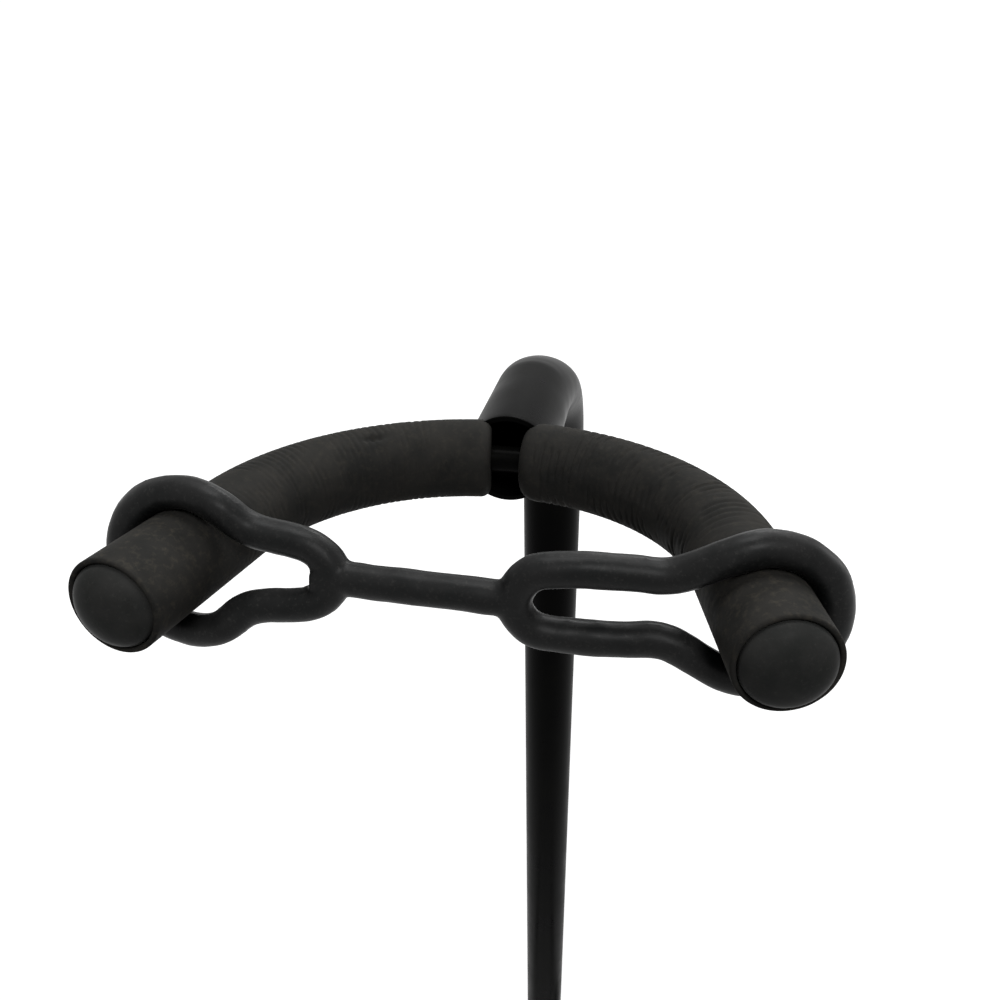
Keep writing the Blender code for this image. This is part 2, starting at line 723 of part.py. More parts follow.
def cradle_path(side, first, last):
    """Stations of one cradle arm: side bend, forward arm, upturned tip. Start at the bar."""
    points = []
    bend_steps, tip_steps = 8, 5
    for i in range(bend_steps + 1):
        angle = math.pi / 2 * i / bend_steps
        along = CRADLE_BEND_R * angle
        spot = Vector((
            CRADLE_HALF_BAR + CRADLE_BEND_R * math.sin(angle),
            -CRADLE_BEND_R * (1 - math.cos(angle)),
            0,
        ))
        points.append((along, spot))
    side_bend = CRADLE_BEND_R * math.pi / 2
    for i in range(tip_steps + 1):
        angle = CRADLE_TIP_ANGLE * i / tip_steps
        spot = Vector((
            CRADLE_HALF_BAR + CRADLE_BEND_R,
            -CRADLE_BEND_R - CRADLE_ARM - CRADLE_TIP_R * math.sin(angle),
            CRADLE_TIP_R * (1 - math.cos(angle)),
        ))
        points.append((side_bend + CRADLE_ARM + CRADLE_TIP_R * angle, spot))
    heading = Vector((0, -math.cos(CRADLE_TIP_ANGLE), math.sin(CRADLE_TIP_ANGLE)))
    tip_start = side_bend + CRADLE_ARM + CRADLE_TIP_R * CRADLE_TIP_ANGLE
    points.append((tip_start + last, points[-1][1] + heading * last))
    chosen = [spot for along, spot in points if along > first]
    if first > 0:
        angle = first / CRADLE_BEND_R
        chosen.insert(0, Vector((
            CRADLE_HALF_BAR + CRADLE_BEND_R * math.sin(angle),
            -CRADLE_BEND_R * (1 - math.cos(angle)),
            0,
        )))
    else:
        chosen.insert(0, points[0][1])
    return [Vector((side * p.x, p.y, p.z)) for p in chosen], Vector((0, heading.y, heading.z))


def make_cradle():
    left, _ = cradle_path(-1, 0.0, CRADLE_TIP + SOCKET_DEPTH)
    right, _ = cradle_path(1, 0.0, CRADLE_TIP + SOCKET_DEPTH)
    sweep(
        "cradle_rod", list(reversed(left)) + right, CRADLE_ROD_R, sides=12, mat=PAINT,
        parent=CRADLE_AXIS,
    )
    for side, word in ((-1, "left"), (1, "right")):
        path, heading = cradle_path(side, CRADLE_SLEEVE_SKIP, CRADLE_TIP)
        hollow(
            f"cradle_sleeve_{word}", path, SLEEVE_R, SLEEVE_R - CRADLE_ROD_R - GAP, sides=16,
            mat=FOAM, parent=CRADLE_AXIS,
        )
        place = facing(path[-1] + heading * GAP, heading)
        dome_plug(f"cradle_plug_{word}", CRADLE_ROD_R + GAP, place, CRADLE_AXIS)
    make_cradle_stops()
    make_cradle_bracket()


def make_cradle_stops():
    """Two rings on the cradle bar, each with a lug that bears up under the bracket's wing."""
    start = BLOCK_HALF_WIDTH + STOP_PLAY
    reach = start + STOP_WIDTH * 2
    for side, word in ((-1, "left"), (1, "right")):
        inner, outer = side * start, side * (start + STOP_WIDTH)
        ring = pin(
            f"cradle_stop_{word}", (inner, 0, 0), (outer, 0, 0), STOP_RING_R, sides=20,
            mat=PAINT, parent=CRADLE_AXIS,
        )
        lug = block(
            f"stop_lug_{word}",
            (min(inner, outer), 0, -STOP_LUG_DROP),
            (max(inner, outer), STOP_LUG, WING_LOW - GAP),
            parent=CRADLE_AXIS, tool=True,
        )
        bore = pin(
            f"stop_bore_{word}", (side * start / 2, 0, 0), (side * reach, 0, 0),
            CRADLE_ROD_R + GAP, sides=20, parent=CRADLE_AXIS, tool=True,
        )
        cut(join(ring, lug), bore)


def make_cradle_bracket():
    ring_r = HUB_BORE_R + BRACKET_WALL
    bracket = pin(
        "cradle_bracket",
        (0, CRADLE_FORWARD, -BRACKET_HALF_HEIGHT), (0, CRADLE_FORWARD, BRACKET_HALF_HEIGHT),
        ring_r, sides=36, mat=PAINT, parent=CRADLE_AXIS,
    )
    bracket.parent = POST_FOOT
    bracket.matrix_local = Matrix.Translation((0, -CRADLE_FORWARD, CRADLE_HEIGHT))
    fixed = dict(parent=CRADLE_AXIS, tool=True)
    body = block(
        "bracket_block",
        (-BLOCK_HALF_WIDTH, 0, -BLOCK_HALF_HEIGHT),
        (BLOCK_HALF_WIDTH, CRADLE_FORWARD - BLOCK_ROOT_R, BLOCK_HALF_HEIGHT), **fixed,
    )
    wing_half = BLOCK_HALF_WIDTH + STOP_PLAY + STOP_WIDTH + STOP_PLAY
    wing = block(
        "bracket_wing",
        (-wing_half, STOP_RING_R, WING_LOW), (wing_half, STOP_RING_R + WING_DEPTH, WING_RISE),
        **fixed,
    )
    join(bracket, body, wing)
    tall = BRACKET_HALF_HEIGHT * PAST
    post_bore = pin(
        "bracket_bore", (0, CRADLE_FORWARD, -tall), (0, CRADLE_FORWARD, tall), HUB_BORE_R,
        sides=36, **fixed,
    )
    wide = BLOCK_HALF_WIDTH * PAST
    channel = pin("rod_channel", (-wide, 0, 0), (wide, 0, 0), CRADLE_ROD_R + GAP, sides=24, **fixed)
    back = CRADLE_FORWARD + ring_r
    set_hole = pin(
        "bracket_screw_hole", (0, CRADLE_FORWARD, 0), (0, back * PAST, 0), SET_SCREW_R + GAP,
        sides=16, **fixed,
    )
    cut(bracket, post_bore, channel, set_hole)
    tube_side = CRADLE_FORWARD + LOWER_TUBE_R + GAP
    screw = pin(
        "cradle_set_screw", (0, tube_side, 0), (0, tube_side + SET_SCREW_LENGTH, 0), SET_SCREW_R,
        sides=16, mat=STEEL, parent=CRADLE_AXIS,
    )
    screw.parent = POST_FOOT
    screw.matrix_local = Matrix.Translation((0, -CRADLE_FORWARD, CRADLE_HEIGHT))
    cap = block(
        "cradle_cap",
        (-BLOCK_HALF_WIDTH, -GAP - CAP_THICKNESS, -BLOCK_HALF_HEIGHT),
        (BLOCK_HALF_WIDTH, -GAP, BLOCK_HALF_HEIGHT),
        mat=PAINT, parent=POST_FOOT,
        place=Matrix.Translation((0, -CRADLE_FORWARD, CRADLE_HEIGHT)),
    )
    cut(cap, channel)
    make_cap_screws(bracket, cap)


def make_cap_screws(bracket, cap):
    """Four screws that hold the cap over the cradle rod."""
    up = (CRADLE_ROD_R + GAP + BLOCK_HALF_HEIGHT) / 2
    seat = GAP + CAP_THICKNESS + GAP
    corners = (
        ("lower_left", -CAP_SCREW_ACROSS, -up),
        ("lower_right", CAP_SCREW_ACROSS, -up),
        ("upper_left", -CAP_SCREW_ACROSS, up),
        ("upper_right", CAP_SCREW_ACROSS, up),
    )
    for word, x, z in corners:
        hole = pin(
            f"cap_hole_{word}", (x, -seat * PAST, z), (x, CAP_SCREW_BITE + GAP, z),
            CAP_SCREW_R + GAP, sides=14, parent=CRADLE_AXIS, tool=True,
        )
        cut(cap, hole)
        cut(bracket, hole)
        place = facing(Vector((x, -CRADLE_FORWARD, CRADLE_HEIGHT + z)), Vector((0, -1, 0)))
        headed_screw(
            f"cap_screw_{word}", CAP_SCREW_R, CAP_SCREW_HEAD_R, CAP_SCREW_HEAD, seat,
            -CAP_SCREW_BITE, place,
        )


# Tripod

LEGS = (
    ("left", math.radians(-90) - FRONT_SPREAD, FRONT_REACH),
    ("right", math.radians(-90) + FRONT_SPREAD, FRONT_REACH),
    ("rear", math.radians(90), REAR_REACH),
)


def leg_slope(reach):
    """How far a leg drops below level, from its pivot to its foot."""
    return math.atan2(PIVOT_HEIGHT - FOOT_AXIS_HEIGHT, reach - PIVOT_R)


def leg_span(reach):
    """Pivot to the foot's centre, along the leg."""
    return math.hypot(PIVOT_HEIGHT - FOOT_AXIS_HEIGHT, reach - PIVOT_R)


def down_the_leg(slope, x, z):
    """A point beside the leg's axis, from the leg's frame to the level one."""
    return (
        x * math.cos(slope) + z * math.sin(slope),
        z * math.cos(slope) - x * math.sin(slope),
    )


def leg_frame(word, azimuth, reach):
    """An empty on the pivot: local X down the leg, local Y along the pivot bolt."""
    flat = Matrix.Translation((
        PIVOT_R * math.cos(azimuth), PIVOT_R * math.sin(azimuth), PIVOT_HEIGHT
    )) @ Matrix.Rotation(azimuth, 4, "Z")
    level = empty(f"ear_frame_{word}", flat, POST_FOOT)
    frame = empty(f"leg_pivot_{word}", Matrix.Rotation(leg_slope(reach), 4, "Y"), level)
    return level, frame


def ear_outline(slope):
    """Side view of one pair of ears: round the leg's end, and back into the hub."""
    top = SLOT_HALF + EAR_ROOF
    back, half = EAR_ROOT_R - PIVOT_R, LEG_R + GAP * 3
    corners = [(back, -half), (back, half)]
    for x, z in ((-LEG_R, -LEG_R), (EAR_REACH, -LEG_R), (EAR_REACH, top), (-LEG_R, top)):
        corners.append(down_the_leg(slope, x, z))
    return [corners[i] for i in convex_hull_2d(corners)]


def slot_outline(slope):
    """Side view of the room in which one leg turns, from its stop down to upright."""
    steps = 8
    far = down_the_leg(slope, EAR_REACH * 2, SLOT_HALF)
    first = math.pi / 2 - slope
    arc = [first + (math.pi - first) * i / steps for i in range(steps + 1)]
    outline = [far] + [(SLOT_HALF * math.cos(a), SLOT_HALF * math.sin(a)) for a in arc]
    return outline + [(-SLOT_HALF, -PIVOT_HEIGHT), (far[0], -PIVOT_HEIGHT)]


def make_hub(frames):
    tall = HUB_TOP - HUB_BOTTOM
    hub = pin(
        "leg_hub", (0, 0, HUB_BOTTOM), (0, 0, HUB_TOP), HUB_R, sides=36, mat=PAINT, parent=POST_FOOT
    )
    cutters = []
    for word, azimuth, reach in LEGS:
        level = frames[word][0]
        slope = leg_slope(reach)
        join(hub, prism(f"ears_{word}", ear_outline(slope), EAR_HALF, parent=level, tool=True))
        slot = prism(f"leg_slot_{word}", slot_outline(slope), SLOT_HALF, parent=level, tool=True)
        bolt_hole = pin(
            f"bolt_hole_{word}", (0, -EAR_HALF * PAST, 0), (0, EAR_HALF * PAST, 0),
            PIVOT_BOLT_R + GAP, sides=16, parent=level, tool=True,
        )
        cutters += [slot, bolt_hole]
    bore = pin(
        "hub_bore", (0, 0, HUB_BOTTOM - tall), (0, 0, HUB_TOP + tall), HUB_BORE_R, sides=36,
        parent=POST_FOOT, tool=True,
    )
    screw_z = HUB_TOP - HUB_SCREW_DROP
    screw_hole = pin(
        "hub_screw_hole", (-HUB_R * PAST, 0, screw_z), (HUB_R * PAST, 0, screw_z),
        SET_SCREW_R + GAP, sides=16, parent=POST_FOOT, tool=True,
    )
    cut(hub, bore, screw_hole, *cutters)
    make_hub_screws(screw_z)


def make_hub_screws(screw_z):
    """Two grub screws that fix the hub on the lower tube."""
    start = LOWER_TUBE_R + GAP
    for side, word in ((-1, "left"), (1, "right")):
        pin(
            f"hub_screw_{word}", (side * start, 0, screw_z),
            (side * (start + SET_SCREW_LENGTH), 0, screw_z), SET_SCREW_R, sides=16,
            mat=STEEL, parent=POST_FOOT,
        )


def hexagon(name, start, end, **where):
    return pin(name, start, end, HEX_R, sides=6, **where)


def make_pivot_hardware(word, frame):
    face = EAR_HALF + GAP
    bolt = pin(
        f"pivot_bolt_{word}", (0, -face - HEX_HEIGHT / 2, 0), (0, face + HEX_HEIGHT + MM, 0),
        PIVOT_BOLT_R, sides=16, mat=STEEL, parent=frame,
    )
    head = hexagon(
        f"bolt_head_{word}", (0, -face - HEX_HEIGHT, 0), (0, -face, 0), parent=frame, tool=True
    )
    join(bolt, head)
    nut = hexagon(
        f"pivot_nut_{word}", (0, face, 0), (0, face + HEX_HEIGHT, 0), mat=STEEL, parent=frame
    )
    bore = pin(
        f"nut_bore_{word}", (0, 0, 0), (0, face * 2, 0), PIVOT_BOLT_R + GAP, sides=16,
        parent=frame, tool=True,
    )
    cut(nut, bore)


def make_leg(word, reach, frame):
    knuckle = pin(
        f"leg_knuckle_{word}", (0, -LEG_R, 0), (0, LEG_R, 0), LEG_R, sides=28, mat=PLASTIC, parent=frame
    )
    stem = pin(
        f"knuckle_stem_{word}", (0, 0, 0), (KNUCKLE_STEM, 0, 0), LEG_BORE_R - GAP, sides=20,
        parent=frame, tool=True,
    )
    bore = pin(
        f"knuckle_bore_{word}", (0, -LEG_R * PAST, 0), (0, LEG_R * PAST, 0), PIVOT_BOLT_R + GAP,
        sides=16, parent=frame, tool=True,
    )
    join(knuckle, stem)
    cut(knuckle, bore)
    span = leg_span(reach)
    end = span - LEG_END_SHORT
    turned(
        f"leg_tube_{word}",
        [
            (LEG_R, end),
            (LEG_R, LEG_TUBE_START),
            (LEG_BORE_R, LEG_TUBE_START),
            (LEG_BORE_R, end),
        ],
        steps=28, closed=True, mat=PAINT, parent=frame,
        place=facing(Vector((0, 0, 0)), Vector((1, 0, 0))),
    )
    make_foot(word, reach, frame)


def make_foot(word, reach, frame):
    """A rubber foot: an upright puck with a sloping socket for the leg's end."""
    slope = leg_slope(reach)
    span = leg_span(reach)
    upright = Matrix.Translation((span, 0, 0)) @ Matrix.Rotation(-slope, 4, "Y")
    foot = turned(
        f"foot_{word}",
        [
            (0.0, FOOT_HEIGHT - FOOT_AXIS_HEIGHT),
            (FOOT_R - FOOT_CHAMFER * 2, FOOT_HEIGHT - FOOT_AXIS_HEIGHT),
            (FOOT_R, FOOT_HEIGHT - FOOT_AXIS_HEIGHT - FOOT_CHAMFER * 2),
            (FOOT_R, FOOT_CHAMFER - FOOT_AXIS_HEIGHT),
            (FOOT_R - FOOT_CHAMFER, -FOOT_AXIS_HEIGHT),
            (0.0, -FOOT_AXIS_HEIGHT),
        ],
        steps=28, mat=RUBBER, parent=frame, place=upright,
    )
    socket = pin(
        f"foot_socket_{word}", (span - FOOT_SOCKET, 0, 0), (span, 0, 0), LEG_R + FOOT_WALL,
        sides=28, parent=frame, tool=True,
    )
    bore = pin(
        f"foot_bore_{word}", (span - FOOT_SOCKET * PAST, 0, 0), (span - LEG_END_SHORT + GAP, 0, 0),
        LEG_R + GAP, sides=28, parent=frame, tool=True,
    )
    floor_trim = block(
        f"floor_trim_{word}",
        (-FOOT_R * 4, -FOOT_R * 2, -FOOT_AXIS_HEIGHT - FOOT_R * 2),
        (FOOT_R * 4, FOOT_R * 2, -FOOT_AXIS_HEIGHT),
        parent=frame, tool=True, place=upright,
    )
    join(foot, socket)
    cut(foot, bore, floor_trim)


def make_tripod():
    frames = {}
    for word, azimuth, reach in LEGS:
        frames[word] = leg_frame(word, azimuth, reach)
    make_hub(frames)
    for word, azimuth, reach in LEGS:
        frame = frames[word][1]
        make_pivot_hardware(word, frame)
        make_leg(word, reach, frame)


make_upper_tube()
make_yoke_rod()
make_yoke_padding()
make_strap()
make_column()
make_collar()
make_clamp()
make_cradle()
make_tripod()
bpy.context.view_layer.update()
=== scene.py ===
# %% [markdown]
# # A guitar stand, dressed for a studio picture
# The stand is a bent steel tube that carries a foam-padded yoke for the guitar's neck, with a
# rubber strap across the yoke. Below come a clamp collar, a padded cradle for the guitar's body
# and a folding tripod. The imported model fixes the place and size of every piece. This lesson
# gives the pieces their fine shapes and their finishes, and sets up the studio.

# %% Load the frame
import json
import math
from functools import partial

import bmesh
import bpy
import numpy as np
from mathutils import Matrix, Vector, noise
from mathutils.kdtree import KDTree


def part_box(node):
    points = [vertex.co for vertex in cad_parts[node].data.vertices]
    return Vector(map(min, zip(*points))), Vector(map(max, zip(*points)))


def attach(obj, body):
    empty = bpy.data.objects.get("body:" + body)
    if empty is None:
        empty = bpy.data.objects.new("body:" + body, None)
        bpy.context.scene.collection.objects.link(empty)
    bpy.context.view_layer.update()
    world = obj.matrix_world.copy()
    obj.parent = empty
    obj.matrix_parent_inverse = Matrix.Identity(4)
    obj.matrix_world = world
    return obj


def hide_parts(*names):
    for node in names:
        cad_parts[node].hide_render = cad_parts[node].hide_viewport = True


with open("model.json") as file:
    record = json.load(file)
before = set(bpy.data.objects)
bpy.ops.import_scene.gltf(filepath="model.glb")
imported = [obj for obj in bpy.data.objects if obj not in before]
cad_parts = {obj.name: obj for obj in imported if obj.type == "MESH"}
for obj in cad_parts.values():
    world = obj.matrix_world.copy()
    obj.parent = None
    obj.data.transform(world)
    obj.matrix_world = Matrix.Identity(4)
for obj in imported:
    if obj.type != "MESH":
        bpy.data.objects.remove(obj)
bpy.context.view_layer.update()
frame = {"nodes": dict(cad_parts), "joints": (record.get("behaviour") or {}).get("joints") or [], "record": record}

MM = 0.001
STAND = bpy.context.scene.collection
BODIES = frame["record"]["behaviour"]["bodies"]
BODY_OF = {node: body for body, members in BODIES.items() for node in members}
SLOT_OF = {row["node"]: row["material_slot"] for row in frame["record"]["subparts"]}
print("pieces in the frame:", len(frame["nodes"]))

# %% [markdown]
# ## Camera
# The camera looks down on the head from in front and a little to the right, as a player would.
# A 33 mm lens on a 36 mm wide sensor gives the strong perspective of a near view. The
# Standard view transform shows each colour as it is written.

# %% Camera
camera_data = bpy.data.cameras.new("camera")
camera_data.sensor_width = 36.0
camera_data.lens = 33.26
camera_data.clip_start = 0.01
camera = bpy.data.objects.new("camera", camera_data)
camera.location = (0.03017, -0.25550, 1.00946)
camera.rotation_euler = (math.radians(52.675), math.radians(1.25), math.radians(9.043))
STAND.objects.link(camera)
bpy.context.scene.camera = camera
bpy.context.scene.view_settings.view_transform = "Standard"
print("camera", round(camera.location.z * 1000), "mm above the floor")

# %% [markdown]
# ## Sizes of the head
# The tube is bent by less than a right angle over the post, so the yoke's plane is tipped up.
# Points of the head are worked out in that tilted plane, with x to the right, y back along the
# tube's mouth and z up from the plane. One matrix then carries them to the stand. Where one piece
# sits on another, 0.15 mm of play keeps their skins apart.

# %% Driving sizes of the head
YOKE_HEIGHT = 880.0 * MM
TUBE_R = 11.1 * MM
TUBE_WALL = 1.2 * MM
TUBE_EDGE = 0.3 * MM
NOSE_LENGTH = 48.0 * MM
TUBE_BEND_R = 75.0 * MM
TUBE_BEND = math.radians(77.5)
ROD_R = 3.175 * MM
ROD_EDGE = 0.4 * MM
YOKE_BEND_R = 52.5 * MM
YOKE_BEND = math.radians(80.0)
ARM_STRAIGHT = {-1: 35.2 * MM, 1: 32.6 * MM}
SIDES = ((-1, "left"), (1, "right"))
SLEEVE_R = 9.5 * MM
SLEEVE_START = 4.0 * MM
LIP = {-1: 2.5 * MM, 1: 2.0 * MM}
LIP_BORE = 8.4 * MM
SOCKET = 3.6 * MM
PLAY = 0.15 * MM

joint_place = {j["name"]: Vector(j["pos_m"]) for j in frame["joints"] if "pos_m" in j}
POST_Y = joint_place["neck_swivel"].y
TILT = math.pi / 2 - TUBE_BEND
POST_REACH = NOSE_LENGTH * math.cos(TILT) + TUBE_BEND_R * (1 - math.sin(TILT))
YOKE = Matrix.Translation((0, POST_Y - POST_REACH, YOKE_HEIGHT)) @ Matrix.Rotation(-TILT, 4, "X")
print("yoke rod's centre:", [round(v * 1000, 2) for v in YOKE.translation])

# %% [markdown]
# ## Helpers for node trees
# Shader trees and geometry trees are both built from code. One function adds a node with its
# links and its settings, and each tree binds that function to itself once, under the name add.
# The other helper turns a hex colour, as seen on a screen, into the linear light values that
# the renderer works with.


# %% Node and colour helpers
def add_node(tree, kind, inputs=(), **settings):
    """A node with its settings. The inputs are listed in order, or given by name or number, and
    each is a plain value, a socket, or a node's first output."""
    node = tree.nodes.new(kind)
    for name, value in settings.items():
        setattr(node, name, value)
    for key, value in inputs.items() if isinstance(inputs, dict) else enumerate(inputs):
        if isinstance(value, bpy.types.Node):
            value = value.outputs[0]
        if isinstance(value, bpy.types.NodeSocket):
            tree.links.new(value, node.inputs[key])
        else:
            node.inputs[key].default_value = value
    return node


def emptied(owner):
    """Clears the nodes of a material or a world, and binds the adding function to them."""
    owner.use_nodes = True
    owner.node_tree.nodes.clear()
    return partial(add_node, owner.node_tree)


def colour(code):
    """An sRGB hex code as linear red, green, blue and alpha."""
    values = [int(code[i:i + 2], 16) / 255 for i in (1, 3, 5)]
    linear = (v / 12.92 if v <= 0.04045 else ((v + 0.055) / 1.055) ** 2.4 for v in values)
    return tuple(linear) + (1.0,)


MATH, RANGE, NOISE = "ShaderNodeMath", "ShaderNodeMapRange", "ShaderNodeTexNoise"
MIX, VECTOR, PLACE = "ShaderNodeMix", "ShaderNodeVectorMath", "ShaderNodeTexCoord"
SMOOTH = {"interpolation_type": "SMOOTHSTEP"}
WHITE = (1.0, 1.0, 1.0, 1.0)
print("a mid grey of #808080 is", round(colour("#808080")[0], 3), "in linear light")

# %% [markdown]
# ## Finishes
# Paint, foam, rubber and nylon all age alike, so one recipe serves them. A soft cloud of noise
# drifts the base colour between two near shades. A finer noise lays dust or scuffs over it, and
# small round specks lie on top. The cloud also moves the roughness. Two bump layers follow: a
# broad one for the skin's unevenness and a fine one for its grain. What makes each finish itself
# are the colours and the sizes in millimetres. How much light comes straight back off the skin
# is one number for each, set on the shader: the dull blacks of this stand give back less than
# a clean gloss would.

# %% One recipe for a worn, moulded or painted skin
CLOUD_RANGE = (0.35, 0.65)
WORN_RANGE = (0.45, 1.05)
SPECK_CORE = 0.7


def finish(name, shades, over, patch, cloud_mm, rough, broad, grain, specks, gloss,
           metallic=0.0, worn=False):
    """shades: two hex codes. over: hex code of what lies on it. patch: (mm, from, to, most).
    rough: lowest and highest. broad and grain: (mm across, mm high, strength). specks: (hex
    code, mm apart, mm across). gloss: specular level. worn: more scuffs at the handled end."""
    mat = bpy.data.materials.new(name)
    add = emptied(mat)
    place = add(PLACE).outputs["Object"]
    cloud, patches = (
        add(NOISE, {"Vector": place, "Scale": 1 / (mm * MM), "Detail": detail, "Roughness": fine})
        for mm, detail, fine in ((cloud_mm, 4.0, 0.55), (patch[0], 6.0, 0.68))
    )
    cover = add(RANGE, [patches, *patch[1:3], 0.0, patch[3]])
    if worn:
        wear = add("ShaderNodeAttribute", attribute_name="wear").outputs["Fac"]
        handled = add(RANGE, [wear, 0.0, 1.0, *WORN_RANGE])
        cover = add(MATH, [cover, handled], operation="MULTIPLY", use_clamp=True)
    spots = add("ShaderNodeTexVoronoi", {"Vector": place, "Scale": 1 / (specks[1] * MM)})
    edge = specks[2] / specks[1] / 2
    dots = add(RANGE, [spots, edge * SPECK_CORE, edge, 1.0, 0.0])
    drift = add(RANGE, [cloud, *CLOUD_RANGE])
    base = colour(shades[0])
    for share, code in ((drift, shades[1]), (cover, over), (dots, specks[0])):
        base = add(MIX, {0: share, 6: base, 7: colour(code)}, data_type="RGBA").outputs[2]
    skin = {}
    for across, height, strength in (broad, grain):
        wave = add(NOISE, {
            "Vector": place, "Scale": 1 / (across * MM), "Detail": 2.0, "Roughness": 0.5,
        })
        skin["Normal"] = add("ShaderNodeBump", {
            "Height": wave, "Distance": height * MM, "Strength": strength, **skin,
        })
    shader = add("ShaderNodeBsdfPrincipled", {
        "Base Color": base, "Metallic": metallic, "Specular IOR Level": gloss, **skin,
        "Roughness": add(RANGE, [cloud, *CLOUD_RANGE, *rough]),
    })
    add("ShaderNodeOutputMaterial", {"Surface": shader})
    print("finish:", name)
    return mat


# %% [markdown]
# ### Black baked enamel
# The tubes and the brackets are steel under sprayed and baked enamel, a smooth skin with a faint
# orange peel about 1.6 mm across. It is deep black head-on and bright only where it is seen at a
# shallow angle, on the crown of the bend and along the edges of the post. A few specks of dust
# settle on it.

# %% Enamel
ENAMEL = finish(
    "black_baked_enamel_on_steel", ("#050505", "#0a0a09"), "#1b1a19", (0.9, 0.66, 0.76, 0.3),
    18, (0.27, 0.36), (1.6, 0.010, 0.3), (0.5, 0.003, 0.2), ("#4a4843", 16, 0.35), gloss=0.012,
)

# %% [markdown]
# ### Closed-cell foam rubber
# The sleeves are extruded as a hose and stay matt and dusty. The cells are about a quarter of a
# millimetre wide, and the grain is drawn nearly twice as wide, so that it shows. Handling leaves
# warm, pale scuffs, most of all near the open ends, where hands push the hose on. An attribute
# on the mesh tells the material where that is.

# %% Foam
FOAM = finish(
    "black_closed_cell_foam_rubber", ("#272726", "#31302e"), "#4a463e", (1.6, 0.50, 0.76, 0.55),
    9, (0.52, 0.66), (2.2, 0.08, 0.45), (0.45, 0.04, 0.6), ("#8f8a78", 13, 0.45), gloss=0.010,
    worn=True,
)

# %% [markdown]
# ### Moulded rubbers
# The strap is moulded from natural rubber. It leaves the mould with a satin skin, and a pale
# bloom gathers on it in patches. The end plugs are a harder moulding with a duller, greyer skin,
# and the feet are the roughest, because the floor rubs them.

# %% Strap, plugs and feet
STRAP_RUBBER = finish(
    "black_satin_natural_rubber", ("#151616", "#1f1f1f"), "#454442", (0.8, 0.54, 0.80, 0.5),
    7, (0.36, 0.46), (3.0, 0.05, 0.45), (0.35, 0.02, 0.5), ("#a3a19a", 9, 0.35), gloss=0.10,
)
PLUG_RUBBER = finish(
    "black_moulded_plug_rubber", ("#2c2d2c", "#363635"), "#4a4a47", (0.7, 0.56, 0.80, 0.5),
    6, (0.34, 0.44), (2.4, 0.04, 0.4), (0.40, 0.02, 0.5), ("#77756f", 7, 0.25), gloss=0.015,
)
FOOT_RUBBER = finish(
    "black_moulded_foot_rubber", ("#222221", "#2b2b2a"), "#4d4a45", (2.0, 0.58, 0.78, 0.6),
    7, (0.60, 0.74), (2.4, 0.05, 0.4), (0.40, 0.02, 0.4), ("#807b70", 8, 0.4), gloss=0.08,
)

# %% [markdown]
# ### Nylon and zinc
# The collar, the knob and the bushes are glass-filled nylon from a spark-eroded mould, with an
# even fine texture. The screws are zinc-plated steel: a pale metal with a soft, cloudy shine.
# A metal takes its shine from its colour, so its specular level stays at the usual half.

# %% Nylon and zinc
NYLON = finish(
    "black_glass_filled_nylon", ("#1b1b1b", "#242423"), "#383733", (1.8, 0.60, 0.80, 0.4),
    12, (0.46, 0.58), (1.8, 0.02, 0.3), (0.45, 0.03, 0.6), ("#5d5b55", 11, 0.3), gloss=0.14,
)
ZINC = finish(
    "zinc_plated_steel", ("#a9a8a3", "#cfcdc6"), "#8d8b84", (1.2, 0.55, 0.75, 0.6),
    2.5, (0.28, 0.44), (1.5, 0.01, 0.3), (0.30, 0.006, 0.4), ("#6f6d66", 3, 0.2), gloss=0.5,
    metallic=1.0,
)

# %% [markdown]
# ## An outline wound along a path
# A tube, a bar, a foam sleeve, a domed plug, a bolt and a knob are all the same idea: an outline,
# given as distances and radii, wound round a line that may bend. The rims, the bore and the crown
# of a piece are all just points of its outline, so each piece comes out closed and smooth. Three
# extras follow rules as well, and change the radius before it is swung: creases in a foam skin,
# scallops round a knob, and the flats of a hexagon.


# %% Creases, scallops and flats, as fields of the tree
def crease_field(add, given, along, angle, radius):
    """How deep the skin is pressed in: long rings that wander, in patches, most in a bend."""
    across, up = (add(MATH, [angle], operation=part) for part in ("COSINE", "SINE"))
    shifted = add(MATH, [across, given["Seed"]], operation="ADD")
    pace = add(MATH, [along, given["Crease Spacing"]], operation="DIVIDE")
    where = add("ShaderNodeCombineXYZ", [pace, shifted, up])
    where = add(VECTOR, [where, (1.0, 3.4, 3.4)], operation="MULTIPLY")
    rings = add("ShaderNodeTexWave", {
        "Vector": where, "Scale": math.pi / 10, "Distortion": 4.5, "Detail": 2.0,
        "Detail Scale": 0.45, "Detail Roughness": 0.55,
    }, wave_type="BANDS", bands_direction="X", wave_profile="SIN").outputs["Fac"]
    spread = add(VECTOR, [where, (0.32, 0.40, 0.40)], operation="MULTIPLY")
    patch = add(NOISE, {"Vector": spread, "Scale": 1.0, "Detail": 2.0})
    off = along
    for step, other in (("SUBTRACT", "Crease Middle"), ("DIVIDE", "Crease Reach")):
        off = add(MATH, [off, given[other]], operation=step)
    off = add(MATH, [off], operation="ABSOLUTE")
    outer = add(MATH, [radius, given["Skin Radius"]], operation="DIVIDE")
    depth = given["Crease Depth"]
    for share in ([rings, 0.65, 0.0], [patch, 0.42, 0.60, 0.04], [off, 0.6, 1.2, 1.0, 0.08],
                  [outer, 0.93, 0.995]):
        depth = add(MATH, [depth, add(RANGE, share, **SMOOTH)], operation="MULTIPLY")
    return depth


